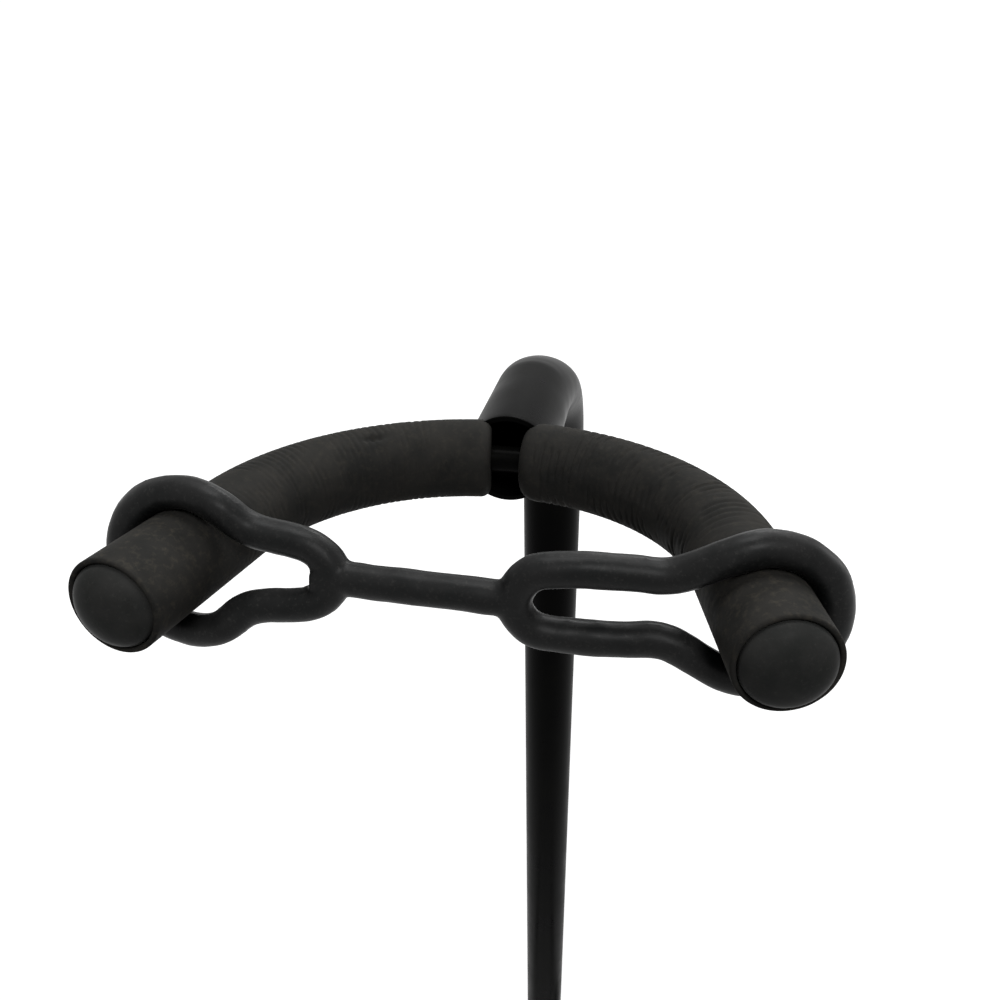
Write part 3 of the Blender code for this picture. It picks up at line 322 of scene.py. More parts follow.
def scallop_field(add, given, angle, radius):
    """Hollows for the fingers, cut between the lobes of a knob's widest part."""
    turn = add(MATH, [angle, given["Lobes"]], operation="MULTIPLY")
    turn = add(MATH, [turn], operation="COSINE")
    wide = add(MATH, [radius, given["Skin Radius"]], operation="DIVIDE")
    depth = add(RANGE, [turn, -0.75], **SMOOTH)
    for share in (add(RANGE, [wide, 0.62, 0.95], **SMOOTH), given["Lobe Depth"]):
        depth = add(MATH, [depth, share], operation="MULTIPLY")
    return depth


def flat_field(add, given, angle, radius):
    """The radius cut back to the flats of a hexagon, wherever it is below a limit."""
    half = math.pi / 6
    turn = add(MATH, [angle, half, -half], operation="WRAP")
    turn = add(MATH, [turn], operation="COSINE")
    flat = add(MATH, [given["Flat Radius"], turn], operation="DIVIDE")
    flat = add(MATH, [radius, flat], operation="MINIMUM")
    below = add(MATH, [radius, given["Flats Below"]], operation="LESS_THAN")
    return add("GeometryNodeSwitch", [below, radius, flat], input_type="FLOAT")


print("fields: creases, scallops and flats")

# %% [markdown]
# ### The winding
# The tree lays out a grid with one row for each point of the outline and one column for each step
# round it. It looks up where a row's point lies along the path and swings it round by the column's
# angle. How worn the skin is goes into an attribute, for the foam's material to read.

# %% The tree that winds an outline along a path
WEAR_LENGTH = 14 * MM
WELD = 0.002 * MM


def new_tree(name, **kinds):
    """A geometry tree with a geometry socket each way and one input for each name given."""
    tree = bpy.data.node_groups.new(name, "GeometryNodeTree")
    for way in ("OUTPUT", "INPUT"):
        tree.interface.new_socket("Geometry", in_out=way, socket_type="NodeSocketGeometry")
    for kind, names in kinds.items():
        for socket in names:
            tree.interface.new_socket(socket, in_out="INPUT", socket_type="NodeSocket" + kind)
    add = partial(add_node, tree)
    return tree, add, add("NodeGroupInput").outputs


def close_tree(add, shape, material):
    real = add("GeometryNodeRealizeInstances", [shape])
    painted = add("GeometryNodeSetMaterial", {0: real, "Material": material})
    add("NodeGroupOutput", [painted])


def winding_tree():
    tree, add, given = new_tree(
        "outline_wound_along_path", Object=("Path", "Outline"), Int=("Rows", "Points", "Sides"),
        Float=("Lobes", "Lobe Depth", "Crease Depth", "Crease Spacing", "Crease Middle",
               "Crease Reach", "Skin Radius", "Flat Radius", "Flats Below", "Wear Start", "Seed"),
        Material=("Surface",),
    )
    wide = add(MATH, [given["Sides"], 1], operation="ADD")
    grid = add("GeometryNodeMeshGrid", {
        "Size X": 1.0, "Size Y": 1.0, "Vertices X": given["Rows"], "Vertices Y": wide,
    })
    index = add("GeometryNodeInputIndex")
    column = add(MATH, [index, wide], operation="FLOORED_MODULO")
    row = index
    for step, other in (
        ("SUBTRACT", column), ("DIVIDE", wide), ("ROUND", 0.0), ("FLOORED_MODULO", given["Points"]),
    ):
        row = add(MATH, [row, other], operation=step)
    turn = add(MATH, [column, given["Sides"]], operation="DIVIDE")
    angle = add(MATH, [turn, 2 * math.pi], operation="MULTIPLY")
    path, outline = (
        add("GeometryNodeObjectInfo", {"Object": given[line]}).outputs["Geometry"]
        for line in ("Path", "Outline")
    )
    point = add("GeometryNodeSampleIndex", {
        "Geometry": outline, "Value": add("GeometryNodeInputPosition"), "Index": row,
    }, data_type="FLOAT_VECTOR", domain="POINT")
    split = add("ShaderNodeSeparateXYZ", [point]).outputs
    along, radius = split["X"], split["Y"]
    line = add("GeometryNodeSampleCurve", {"Curves": path, "Length": along}, mode="LENGTH").outputs
    creases = crease_field(add, given, along, angle, radius)
    scallops = scallop_field(add, given, angle, radius)
    radius = flat_field(add, given, angle, radius)
    for depth in (creases, scallops):
        radius = add(MATH, [radius, depth], operation="SUBTRACT")
    side = add(VECTOR, [line["Tangent"], line["Normal"]], operation="CROSS_PRODUCT")
    place = line["Position"]
    for way, part in ((line["Normal"], "COSINE"), (side, "SINE")):
        reach = add(MATH, [angle], operation=part)
        reach = add(MATH, [reach, radius], operation="MULTIPLY")
        swing = add(VECTOR, {0: way, "Scale": reach}, operation="SCALE")
        place = add(VECTOR, [place, swing], operation="ADD")
    wound = add("GeometryNodeSetPosition", {"Geometry": grid, "Position": place})
    past = add(MATH, [along, given["Wear Start"]], operation="SUBTRACT")
    marked = add("GeometryNodeStoreNamedAttribute", {
        "Geometry": wound, "Name": "wear",
        "Value": add(RANGE, [past, 0.0, WEAR_LENGTH], **SMOOTH),
    }, data_type="FLOAT", domain="POINT")
    welded = add("GeometryNodeMergeByDistance", {"Geometry": marked, "Distance": WELD})
    close_tree(add, welded, given["Surface"])
    return tree


WINDING = winding_tree()
print("winding tree:", len(WINDING.nodes), "nodes")

# %% [markdown]
# ## Copies on places
# The screws and bolts of one kind are one shape in several places. This tree reads a mesh of bare
# points, each with a heading, sets a copy of the shape on every point and turns it to the heading.


# %% The tree that sets copies on places
def copies_tree():
    tree, add, given = new_tree("copies_on_places", Object=("Original",), Material=("Surface",))
    heading = add("GeometryNodeInputNamedAttribute", {"Name": "heading"}, data_type="FLOAT_VECTOR")
    original = add("GeometryNodeObjectInfo", {"Object": given["Original"]}).outputs["Geometry"]
    copies = add("GeometryNodeInstanceOnPoints", {
        "Points": given["Geometry"], "Instance": original,
        "Rotation": add("FunctionNodeAlignRotationToVector", {"Vector": heading}, axis="Z"),
    })
    close_tree(add, copies, given["Surface"])
    return tree


COPIES = copies_tree()
print("copying tree:", len(COPIES.nodes), "nodes")

# %% [markdown]
# ## Running a tree and keeping its mesh
# A tree's result is kept as a plain mesh and the modifier is taken off, so that nothing live is
# left on a piece. The inputs are set by the identifiers of their sockets, before Blender looks
# at the object for the first time. A kept piece rides on its node's body in the frame.


# %% Growing, keeping and shading
def plain_mesh(obj):
    """The mesh that an object's modifiers or bevel make."""
    depsgraph = bpy.context.evaluated_depsgraph_get()
    return bpy.data.meshes.new_from_object(obj.evaluated_get(depsgraph))


def applied(obj):
    mesh = plain_mesh(obj)
    obj.modifiers.clear()
    obj.data = mesh
    return obj


def linked(name, mesh):
    obj = bpy.data.objects.new(name, mesh)
    STAND.objects.link(obj)
    return obj


def grown(obj, tree, **sizes):
    modifier = obj.modifiers.new("grown", "NODES")
    modifier.node_group = tree
    sockets = {s.name: s.identifier for s in tree.interface.items_tree if s.in_out == "INPUT"}
    for name, value in sizes.items():
        modifier[sockets[name.replace("_", " ")]] = value
    STAND.objects.link(obj)
    return applied(obj)


def smoothed(obj, degrees):
    """Smooth shading, with a sharp edge only where the skin turns by more than this."""
    obj.data.shade_smooth()
    obj.data.set_sharp_from_angle(angle=math.radians(degrees))
    return obj


def shaded(obj):
    """Outward faces on a piece that a tree has made, and smooth shading."""
    bm = bmesh.new()
    bm.from_mesh(obj.data)
    bmesh.ops.recalc_face_normals(bm, faces=bm.faces)
    bm.to_mesh(obj.data)
    bm.free()
    return smoothed(obj, 50)


def guide(points, flat=False):
    """A hidden line for a tree to read: a path in space, or an outline of (distance, radius)."""
    curve = bpy.data.curves.new("guide", "CURVE")
    curve.dimensions = "3D"
    spline = curve.splines.new("POLY")
    spline.points.add(len(points) - 1)
    for spot, point in zip(spline.points, points):
        spot.co = (point[0], point[1], 0.0 if flat else point[2], 1.0)
    return linked("guide", curve)


def wound(name, path, outline, sides, mat, **extras):
    """One closed piece. Its outline ends on the axis at both ends, or runs back down its bore."""
    solid = outline[0][1] == 0 and outline[-1][1] == 0
    line, shape = guide(path), guide(outline, flat=True)
    sizes = dict(Skin_Radius=1.0, Crease_Spacing=1.0, Crease_Reach=1.0, Flat_Radius=1.0,
                 Wear_Start=10.0)
    sizes.update(extras)
    obj = grown(
        bpy.data.objects.new(name, bpy.data.meshes.new(name)), WINDING, Path=line, Outline=shape,
        Rows=len(outline) + (0 if solid else 1), Points=len(outline), Sides=sides, Surface=mat,
        **sizes,
    )
    for used in (line, shape):
        bpy.data.objects.remove(used)
    return shaded(obj)


def copied(name, original, spots, mat):
    """Copies of a piece that stands along Z, one on each (place, heading). The original goes."""
    mesh = bpy.data.meshes.new(name)
    mesh.from_pydata([place for place, _ in spots], [], [])
    headings = mesh.attributes.new("heading", "FLOAT_VECTOR", "POINT")
    for row, (_, heading) in zip(headings.data, spots):
        row.vector = heading
    obj = grown(bpy.data.objects.new(name, mesh), COPIES, Original=original, Surface=mat)
    bpy.data.objects.remove(original)
    return shaded(obj)


dressed_nodes = set()


def keep(obj, *nodes):
    """The piece stands for its nodes, whose parts in the frame are hidden, and rides on their body."""
    body, slot = BODY_OF[nodes[0]], SLOT_OF[nodes[0]]
    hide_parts(*nodes)
    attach(obj, body)
    dressed_nodes.update(nodes)
    print(f"{obj.name}: {len(obj.data.polygons)} faces")
    return obj


# %% [markdown]
# ## Outlines
# Bars and tubes are cut with a saw and tumbled, so their rims are slightly rounded. Each outline
# starts at the near rim, runs along the skin, and rounds the far rim. A tube's outline then
# comes back through the bore.


# %% Outlines of tubes and bars
def rim(radius, edge, depth=None):
    """Quarter round of (distance from the end, radius), from the end face to the skin."""
    depth = depth or edge
    turns = [math.pi / 2 * i / 6 for i in range(7)]
    return [(depth * (1 - math.sin(t)), radius - edge * (1 - math.cos(t))) for t in reversed(turns)]


def far_rim(length, radius, edge):
    return [(length - s, r) for s, r in reversed(rim(radius, edge))]


def skin_rows(start, end, radius, step):
    count = max(2, round((end - start) / step))
    return [(start + (end - start) * i / count, radius) for i in range(1, count)]


def bore_rows(length, bore, step):
    count = max(2, round(length / step))
    return [(length * (1 - i / count), bore) for i in range(count + 1)]


def tube_outline(length, radius, bore, edge, step):
    skin = rim(radius, edge) + skin_rows(edge, length - edge, radius, step)
    return skin + far_rim(length, radius, edge) + bore_rows(length, bore, step)


def sleeve_outline(length, bore, step, near, reach):
    """A foam sleeve whose far end laps over the plug's skirt as a thin round lip."""
    wall = (SLEEVE_R - LIP_BORE) / 2
    tip = length + reach
    turns = [math.pi * i / 10 for i in range(11)]
    lip = [(tip - wall * (1 - math.sin(t)), SLEEVE_R - wall * (1 - math.cos(t))) for t in turns]
    skin = near + skin_rows(near[-1][0], tip - wall, SLEEVE_R, step)
    return skin + lip + [(length, LIP_BORE)] + bore_rows(length, bore, 3 * MM)


def bar_outline(length, radius, edge, step):
    skin = rim(radius, edge) + skin_rows(edge, length - edge, radius, step)
    return [(0.0, 0.0)] + skin + far_rim(length, radius, edge) + [(length, 0.0)]


def path_length(points):
    return sum((Vector(b) - Vector(a)).length for a, b in zip(points, points[1:]))


def straight(start, end, count=8):
    return [Vector(start).lerp(Vector(end), i / count) for i in range(count + 1)]


def bar(name, path, radius, edge, step, sides, mat):
    """A round bar along a path, with rounded rims."""
    return wound(name, path, bar_outline(path_length(path), radius, edge, step), sides, mat)


def cutter(start, end, radius, sides, step=4 * MM):
    """A straight round bar to cut with."""
    return bar("cutter", straight(start, end), radius, 0.1 * MM, step, sides, ENAMEL)


print("a rim:", [(round(s, 2), round(r, 2)) for s, r in rim(10, 1)])

# %% [markdown]
# ## Cutting and moulding
# The tube's rim is notched for the rod, and a sleeve is cut away where the tube's nose goes
# through it. A Boolean takes the tool away, and the result is kept as a plain mesh. A moulded
# piece is joined from several closed ones instead: a voxel remesh makes them one skin, and
# smoothing fills the crotches as a mould does.


# %% Carving and moulding
def carved(obj, *tools):
    for tool in tools:
        boolean = obj.modifiers.new("carve", "BOOLEAN")
        boolean.operation = "DIFFERENCE"
        boolean.solver = "EXACT"
        boolean.object = tool
    applied(obj)
    for tool in tools:
        bpy.data.objects.remove(tool)
    return smoothed(obj, 40)


def moulded(name, pieces, mat, voxel, passes):
    bm = bmesh.new()
    for piece in pieces:
        bm.from_mesh(piece.data)
        bpy.data.objects.remove(piece)
    mesh = bpy.data.meshes.new(name)
    bm.to_mesh(mesh)
    bm.free()
    obj = linked(name, mesh)
    skin = obj.modifiers.new("skin", "REMESH")
    skin.mode = "VOXEL"
    skin.voxel_size = voxel
    relax = obj.modifiers.new("relax", "SMOOTH")
    relax.factor = 0.5
    relax.iterations = passes
    applied(obj)
    obj.data.shade_smooth()
    obj.data.materials.clear()
    obj.data.materials.append(mat)
    return obj


def spots_of(obj):
    """The piece's points and normals, one row each."""
    count = len(obj.data.vertices)
    spots, normals = np.zeros(count * 3), np.zeros(count * 3)
    obj.data.vertices.foreach_get("co", spots)
    obj.data.vertices.foreach_get("normal", normals)
    return spots.reshape(-1, 3), normals.reshape(-1, 3)


def moved(obj, spots):
    obj.data.vertices.foreach_set("co", spots.ravel())
    obj.data.update()
    return obj


print("pieces can now be wound, copied, carved and moulded")


# %% [markdown]
# ## The upper tube
# One steel tube makes the post, the bend over its top and the short nose. Its mouth stays open,
# and two half-round notches in the rim seat the yoke's rod, which is welded there.

# %% Paths of the head
BEND_STEPS = 72
ARM_LENGTH = {side: YOKE_BEND_R * YOKE_BEND + rest for side, rest in ARM_STRAIGHT.items()}


def upper_tube_path():
    points = [(0, 0, 0)]
    for i in range(BEND_STEPS + 1):
        angle = TUBE_BEND * i / BEND_STEPS
        back = NOSE_LENGTH + TUBE_BEND_R * math.sin(angle)
        points.append((0, back, -TUBE_BEND_R * (1 - math.cos(angle))))
    world = [YOKE @ Vector(p) for p in points]
    return world + [Vector((world[-1].x, world[-1].y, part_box("upper_tube")[0][2]))]


def arm_place(side, distance):
    """A point of the yoke rod's centreline in the yoke's plane, from its middle outwards."""
    angle = min(distance / YOKE_BEND_R, YOKE_BEND)
    rest = max(0.0, distance - YOKE_BEND_R * YOKE_BEND)
    x = YOKE_BEND_R * math.sin(angle) + rest * math.cos(angle)
    y = YOKE_BEND_R * (1 - math.cos(angle)) + rest * math.sin(angle)
    return Vector((side * x, -y, 0))


def yoke_place(side, distance):
    return YOKE @ arm_place(side, distance)


def arm_path(place, side, start, end, step=0.8 * MM):
    count = round((end - start) / step)
    return [place(side, start + (end - start) * i / count) for i in range(count + 1)]


def rod_path(left, right):
    return arm_path(yoke_place, -1, 0, left)[::-1] + arm_path(yoke_place, 1, 0, right)[1:]


print("arms of the yoke:", {word: round(ARM_LENGTH[side] / MM, 1) for side, word in SIDES}, "mm")

# %% [markdown]
# A thin tube never stays round in a bend. Its outer wall is drawn flat and it spreads sideways.
# The winding makes it round, and its points are then moved by how far round the bend they are.


# %% Upper tube and rod
NOTCH_REACH = 15 * MM


def flattened_in_bend(obj, wall_drop=0.22, spread=0.07):
    """wall_drop: how much the outer half loses at mid bend. spread: how much it widens."""
    spots, _ = spots_of(obj)
    turn = np.array(YOKE.inverted())
    local = spots @ turn[:3, :3].T + turn[:3, 3]
    back, up = local[:, 1] - NOSE_LENGTH, local[:, 2] + TUBE_BEND_R
    out, angle = np.hypot(back, up) - TUBE_BEND_R, np.arctan2(back, up)
    share = np.sin(np.clip(angle / TUBE_BEND, 0, 1) * math.pi) ** 0.6
    ring = TUBE_BEND_R + out * (1 - share * np.where(out > 0, wall_drop, wall_drop / 4))
    bent = (angle > 0) & (angle < TUBE_BEND)
    local[:, 0] *= 1 + spread * share
    local[bent, 1] = (NOSE_LENGTH + ring * np.sin(angle))[bent]
    local[bent, 2] = (ring * np.cos(angle) - TUBE_BEND_R)[bent]
    turn = np.array(YOKE)
    return moved(obj, local @ turn[:3, :3].T + turn[:3, 3])


path = upper_tube_path()
rows = tube_outline(path_length(path), TUBE_R, TUBE_R - TUBE_WALL, TUBE_EDGE, 2 * MM)
tube = flattened_in_bend(wound("upper_tube_enamelled", path, rows, 96, ENAMEL))
path = rod_path(NOTCH_REACH, NOTCH_REACH)
notch = bar("notch", path, ROD_R + PLAY, 0.2 * MM, 1.5 * MM, 48, ENAMEL)
keep(carved(tube, notch), "upper_tube")

path = rod_path(*(ARM_LENGTH[side] + SOCKET for side, _ in SIDES))
keep(bar("yoke_rod_enamelled", path, ROD_R, ROD_EDGE, 1.5 * MM, 48, ENAMEL), "yoke_rod")

# %% [markdown]
# ## The foam sleeves of the yoke
# A foam hose that is pushed round a bend crowds into fine rings, a millimetre or two apart. Each
# sleeve meets its neighbour at the tube's mouth and stops against the tube's wall, so the nose
# of the tube is carved out of it. The inner ends are pressed round by the tube's mouth. The left
# sleeve has a small nick from use.

# %% Sleeves of the yoke
INNER_ROUND = {-1: (2.2 * MM, 2.4 * MM), 1: (3.4 * MM, 4.6 * MM)}
YOKE_CREASES = {-1: (0.17, 1.7, 44 * MM, 34 * MM, 3.0), 1: (0.38, 2.2, 34 * MM, 38 * MM, 7.0)}
NOSE_CUT = 38 * MM
NICK_AT, NICK_SIDE, NICK_DEPTH, NICK_LIMIT = 34 * MM, (0.246, -0.324, 0.914), 0.9 * MM, 5 * MM
NICK_SIZE = (((0.80, 0.60, 0.0), 2.8 * MM), ((0.60, -0.80, -0.1), 0.9 * MM))


def foam(name, path, rows, sides, wear_start, creases):
    """creases: depth and spacing in mm, then where along the sleeve, how far, and a seed."""
    depth, spacing, middle, reach, seed = creases
    return wound(
        name, path, rows, sides, FOAM, Skin_Radius=SLEEVE_R, Wear_Start=wear_start, Seed=seed,
        Crease_Depth=depth * MM, Crease_Spacing=spacing * MM, Crease_Middle=middle,
        Crease_Reach=reach,
    )


def nicked(sleeve):
    """Presses in an oval, rounded hollow, long the way of the first direction in NICK_SIZE."""
    spots, normals = spots_of(sleeve)
    nick = YOKE @ (arm_place(-1, NICK_AT) + Vector(NICK_SIDE) * SLEEVE_R)
    off = spots - np.array(nick)
    ways = [(np.array(YOKE.to_3x3() @ Vector(way)), size) for way, size in NICK_SIZE]
    press = np.exp(-sum((off @ way / size) ** 2 for way, size in ways))
    press[np.linalg.norm(off, axis=1) > NICK_LIMIT] = 0
    return moved(sleeve, spots - normals * (press * NICK_DEPTH)[:, None])


for side, word in SIDES:
    length = ARM_LENGTH[side] - SLEEVE_START
    end = rim(SLEEVE_R, *INNER_ROUND[side])
    path = arm_path(yoke_place, side, SLEEVE_START, ARM_LENGTH[side] + LIP[side])
    rows = sleeve_outline(length, ROD_R + PLAY, 0.32 * MM, end, LIP[side])
    sleeve = foam(f"yoke_foam_{word}", path, rows, 140, length - 30 * MM, YOKE_CREASES[side])
    nose = [YOKE @ Vector((0, y, 0)) for y in (-PLAY, NOSE_CUT)]
    carved(sleeve, cutter(*nose, TUBE_R + PLAY, 96, step=8 * MM))
    keep(nicked(sleeve) if side < 0 else sleeve, f"yoke_sleeve_{word}")

# %% [markdown]
# ## The end plugs
# A domed rubber plug closes each arm. It is narrower than the foam, so the foam's rounded lip
# shows round it. The dome is a flattened half ball above a short skirt, turned from one outline.

# %% Plugs
PLUG_R = 8.3 * MM
PLUG_SKIRT = 1.2 * MM
PLUG_RISE = 5.6 * MM - PLUG_SKIRT
PLUG_EDGE = 0.3 * MM
PLUG_GAP = 0.3 * MM


def quarter(steps):
    return [math.pi / 2 * i / steps for i in range(steps + 1)]


def plug(rod, side, word, place, arm_end, bore):
    """Outline: over the back face, the skirt and the dome, and back down the socket."""
    end, ahead = place(side, arm_end), place(side, arm_end + MM)
    heading = (ahead - end).normalized()
    start = end + heading * PLUG_GAP
    soft = PLUG_EDGE * 0.3
    rows = [(0.0, bore), (0.0, PLUG_R - PLUG_EDGE), (soft, PLUG_R - soft), (PLUG_EDGE, PLUG_R)]
    rows += [(PLUG_SKIRT + PLUG_RISE * math.sin(t), PLUG_R * math.cos(t)) for t in quarter(32)]
    rows += [(SOCKET, 0.0), (SOCKET, bore)]
    path = straight(start, start + heading * 12 * MM)
    piece = wound(f"{rod}_end_plug_{word}", path, rows, 96, PLUG_RUBBER)
    keep(piece, f"{rod}_plug_{word}")


for side, word in SIDES:
    plug("yoke", side, word, yoke_place, ARM_LENGTH[side], ROD_R + PLAY)

# %% [markdown]
# ## The neck strap
# The strap is moulded in one piece: a short keyhole loop for the left arm, a bar, and a long
# keyhole loop for the right arm, which is pulled off to let the neck in. The rings grip the foam,
# the pull of the bar draws them towards it, and the left one leans back. Each loop's centreline
# is a smooth curve through a few points round the arm and along the two strands.

# %% Centrelines of the strap
STRAP_R = 3.4 * MM
RING_SAG = 0.4 * MM
RING_DEGREES = (30, 60, 90, 118)
BAR_ENDS = {-1: Vector((-23.8, -61.8, -1.0)) * MM, 1: Vector((10.7, -63.6, -1.0)) * MM}
BAR_OVERLAP = {-1: 4.1, 1: 1.6}
LOOPS = {
    -1: dict(back=16.8 * MM, pull=1.8 * MM, lean=0.2, reach=14.9 * MM, half_gap=7.6 * MM,
             taper=(0.57, 0.72)),
    1: dict(back=13.7 * MM, pull=0.3 * MM, lean=0.0, reach=16.1 * MM, half_gap=7.0 * MM,
            taper=(0.45, 0.80)),
}


def smooth_loop(points, per_span):
    """A closed smooth curve through the points."""
    count = len(points)
    result = []
    for i in range(count):
        a, b, c, d = (points[(i + k) % count] for k in (-1, 0, 1, 2))
        for t in (step / per_span for step in range(per_span)):
            result.append(0.5 * (2 * b + (c - a) * t + (2 * a - 5 * b + 4 * c - d) * t**2
                                 + (3 * b - a - 3 * c + d) * t**3))
    return result


def strap_loop(side, back, pull, lean, reach, half_gap, taper):
    """One keyhole loop: a ring round the arm, then two strands to the bar's end. taper: how far
    before that end the strands draw in, and to what height, as shares of half_gap."""
    station = ARM_LENGTH[side] - back
    arm = arm_place(side, station)
    heading = (arm_place(side, station + MM) - arm).normalized()
    outward, upward = Vector((-side * heading.y, side * heading.x, 0)), Vector((0, lean, 1))
    clear = SLEEVE_R + STRAP_R + PLAY
    middle = arm - outward * pull - Vector((0, 0, RING_SAG))
    meet = BAR_ENDS[side]
    near = arm.x - side * reach
    stations = [(near, half_gap)]
    if abs(near - meet.x) > 3 * half_gap:
        stations += [(meet.x + (near - meet.x) * share, half_gap) for share in (0.72, 0.36)]
    stations.append((meet.x + side * half_gap * taper[0], half_gap * taper[1]))
    halves = []
    for half in (1, -1):
        ring = [
            middle + outward * ((clear + pull) * math.cos(a))
            + upward * (half * (clear + RING_SAG) * math.sin(a))
            for a in (math.radians(d) for d in RING_DEGREES)
        ]
        strand = [
            meet.lerp(middle, (x - meet.x) / (middle.x - meet.x)) + upward * half * rise
            for x, rise in stations
        ]
        halves.append(ring + strand)
    return [middle + outward * (clear + pull)] + halves[0] + [meet] + halves[1][::-1]


loops = {side: smooth_loop(strap_loop(side, **LOOPS[side]), 12) for side, _ in SIDES}
ahead = (BAR_ENDS[1] - BAR_ENDS[-1]).normalized()
middle_bar = straight(*(BAR_ENDS[s] + ahead * s * BAR_OVERLAP[s] * MM for s in (-1, 1)), 40)
print("strap's loops:", [round(path_length(loop) / MM) for loop in loops.values()], "mm round")

# %% [markdown]
# ### Moulding the strap
# A rubber moulding is one body, and its crotches are filled, because a sharp inner corner would
# tear. Round bars are swept along the three centrelines. They run a little way into one another,
# so that the remesh finds one volume, and the smoothing then fills the corners.


# %% Sweeping and moulding the strap
def round_bar(points, cyclic):
    """A round bar along a line, as a plain mesh."""
    obj = guide(points)
    obj.data.bevel_depth = STRAP_R
    obj.data.bevel_resolution = 12
    obj.data.use_fill_caps = not cyclic
    obj.data.splines[0].use_cyclic_u = cyclic
    mesh = plain_mesh(obj)
    bpy.data.objects.remove(obj)
    return bpy.data.objects.new("round_bar", mesh)


bars = [round_bar(loop, True) for loop in loops.values()] + [round_bar(middle_bar, False)]
strap = moulded("neck_strap_moulded", bars, STRAP_RUBBER, 0.5 * MM, 12)
print("strap:", len(strap.data.vertices), "points")

# %% [markdown]
# ### The strap's skin
# A hand-finished mould leaves the skin a little wavy, and its two halves leave a fine raised line
# round the edge. Every point is pushed out along its normal: by two sizes of noise, and by a
# ridge where the point is level with the nearest point of a centreline.

# %% Uneven skin and parting line
WAVES = ((7 * MM, 0.16), (2.5 * MM, 0.06))
RIDGE_HALF, RIDGE_RISE = 0.35 * MM, 0.12

centres = KDTree(len(middle_bar) + sum(len(loop) for loop in loops.values()))
for i, point in enumerate(middle_bar + loops[-1] + loops[1]):
    centres.insert(point, i)
centres.balance()
spots, normals = spots_of(strap)
lift = np.empty(len(spots))
for i, spot in enumerate(spots):
    side_step = (spot[1] - centres.find(spot)[0].y) / RIDGE_HALF
    wave = sum(noise.noise(Vector(spot) / size) * rise for size, rise in WAVES)
    lift[i] = (wave + RIDGE_RISE * math.exp(-side_step**2)) * MM
moved(strap, spots + normals * lift[:, None])
strap.data.transform(YOKE)
keep(strap, "neck_strap")

# %% [markdown]
# ## The cradle
# The cradle is one bent rod: a bar across the column, two bends forward, two arms and two
# upturned tips. Foam hose and domed plugs cover the arms as they do on the yoke.

# %% Path of the cradle
CRADLE_ROD_R = 4.0 * MM
CRADLE_HALF_BAR = 70.0 * MM
CRADLE_BEND_R = 35.0 * MM
CRADLE_ARM = 62.0 * MM
CRADLE_TIP_R = 24.0 * MM
CRADLE_TIP_BEND = math.radians(62.0)
CRADLE_TIP = 14.0 * MM
CRADLE_SKIP = 30.0 * MM
CRADLE = joint_place["cradle_fold"]
SIDE_BEND = CRADLE_BEND_R * math.pi / 2
TIP_BEND = CRADLE_TIP_R * CRADLE_TIP_BEND
CRADLE_END = SIDE_BEND + CRADLE_ARM + TIP_BEND + CRADLE_TIP


def cradle_place(side, s):
    """A point of one cradle arm, s from the start of its side bend."""
    turn = min(s, SIDE_BEND) / CRADLE_BEND_R
    ahead = min(max(s - SIDE_BEND, 0), CRADLE_ARM)
    lift = min(max(s - SIDE_BEND - CRADLE_ARM, 0), TIP_BEND) / CRADLE_TIP_R
    rest = max(s - SIDE_BEND - CRADLE_ARM - TIP_BEND, 0)
    x = CRADLE_HALF_BAR + CRADLE_BEND_R * math.sin(turn)
    y = CRADLE_BEND_R * (1 - math.cos(turn)) + ahead
    y += CRADLE_TIP_R * math.sin(lift) + rest * math.cos(lift)
    z = CRADLE_TIP_R * (1 - math.cos(lift)) + rest * math.sin(lift)
    return CRADLE + Vector((side * x, -y, z))


print("cradle's arms:", round(CRADLE_END / MM, 1), "mm from the side bend to the rod's end")

# %% [markdown]
# ### Cradle rod, sleeves and plugs
# The same foam hose is pushed on from each tip, and stops before the side bend is through. It
# creases where the tip turns up. The plugs are the yoke's, with a wider socket for this rod.

# %% Cradle rod, sleeves and plugs
arms = [arm_path(cradle_place, side, 0, CRADLE_END + SOCKET, MM) for side, _ in SIDES]
path = arms[0][::-1] + arms[1]
keep(bar("cradle_rod_enamelled", path, CRADLE_ROD_R, ROD_EDGE, 2 * MM, 40, ENAMEL), "cradle_rod")
length = CRADLE_END - CRADLE_SKIP
tip_middle = length - CRADLE_TIP - TIP_BEND / 2
rows = sleeve_outline(length, CRADLE_ROD_R + PLAY, 0.4 * MM, rim(SLEEVE_R, 1.1 * MM), LIP[1])
for side, word in SIDES:
    path = arm_path(cradle_place, side, CRADLE_SKIP, CRADLE_END + LIP[1], MM)
    creases = (0.22, 1.6, tip_middle, TIP_BEND, 11.0 + side)
    sleeve = foam(f"cradle_foam_{word}", path, rows, 112, length - 24 * MM, creases)
    keep(sleeve, f"cradle_sleeve_{word}")
    plug("cradle", side, word, cradle_place, CRADLE_END, CRADLE_ROD_R + PLAY)

# %% [markdown]
# ## The column and the legs
# The column and the legs are straight tubes, sawn and tumbled before painting. A leg starts
# inside its knuckle on the hub and ends inside the socket of its foot.

# %% Straight tubes
LOWER_TUBE_R, LOWER_TUBE_WALL = 14.3 * MM, 1.5 * MM
LEG_R, LEG_WALL = 9.5 * MM, 1.2 * MM
LEG_START, LEG_SHORT = 11 * MM, 3 * MM
FOOT_AXIS = 11.5 * MM
LEG_TURN_REACH = {"left": (-140, 300 * MM), "right": (-40, 300 * MM), "rear": (90, 125 * MM)}


def straight_tube(name, node, start, end, radius, wall, sides):
    path = straight(start, end)
    rows = tube_outline(path_length(path), radius, radius - wall, TUBE_EDGE, 6 * MM)
    return keep(wound(name, path, rows, sides, ENAMEL), node)


def on_post(z):
    return Vector((0, POST_Y, z))


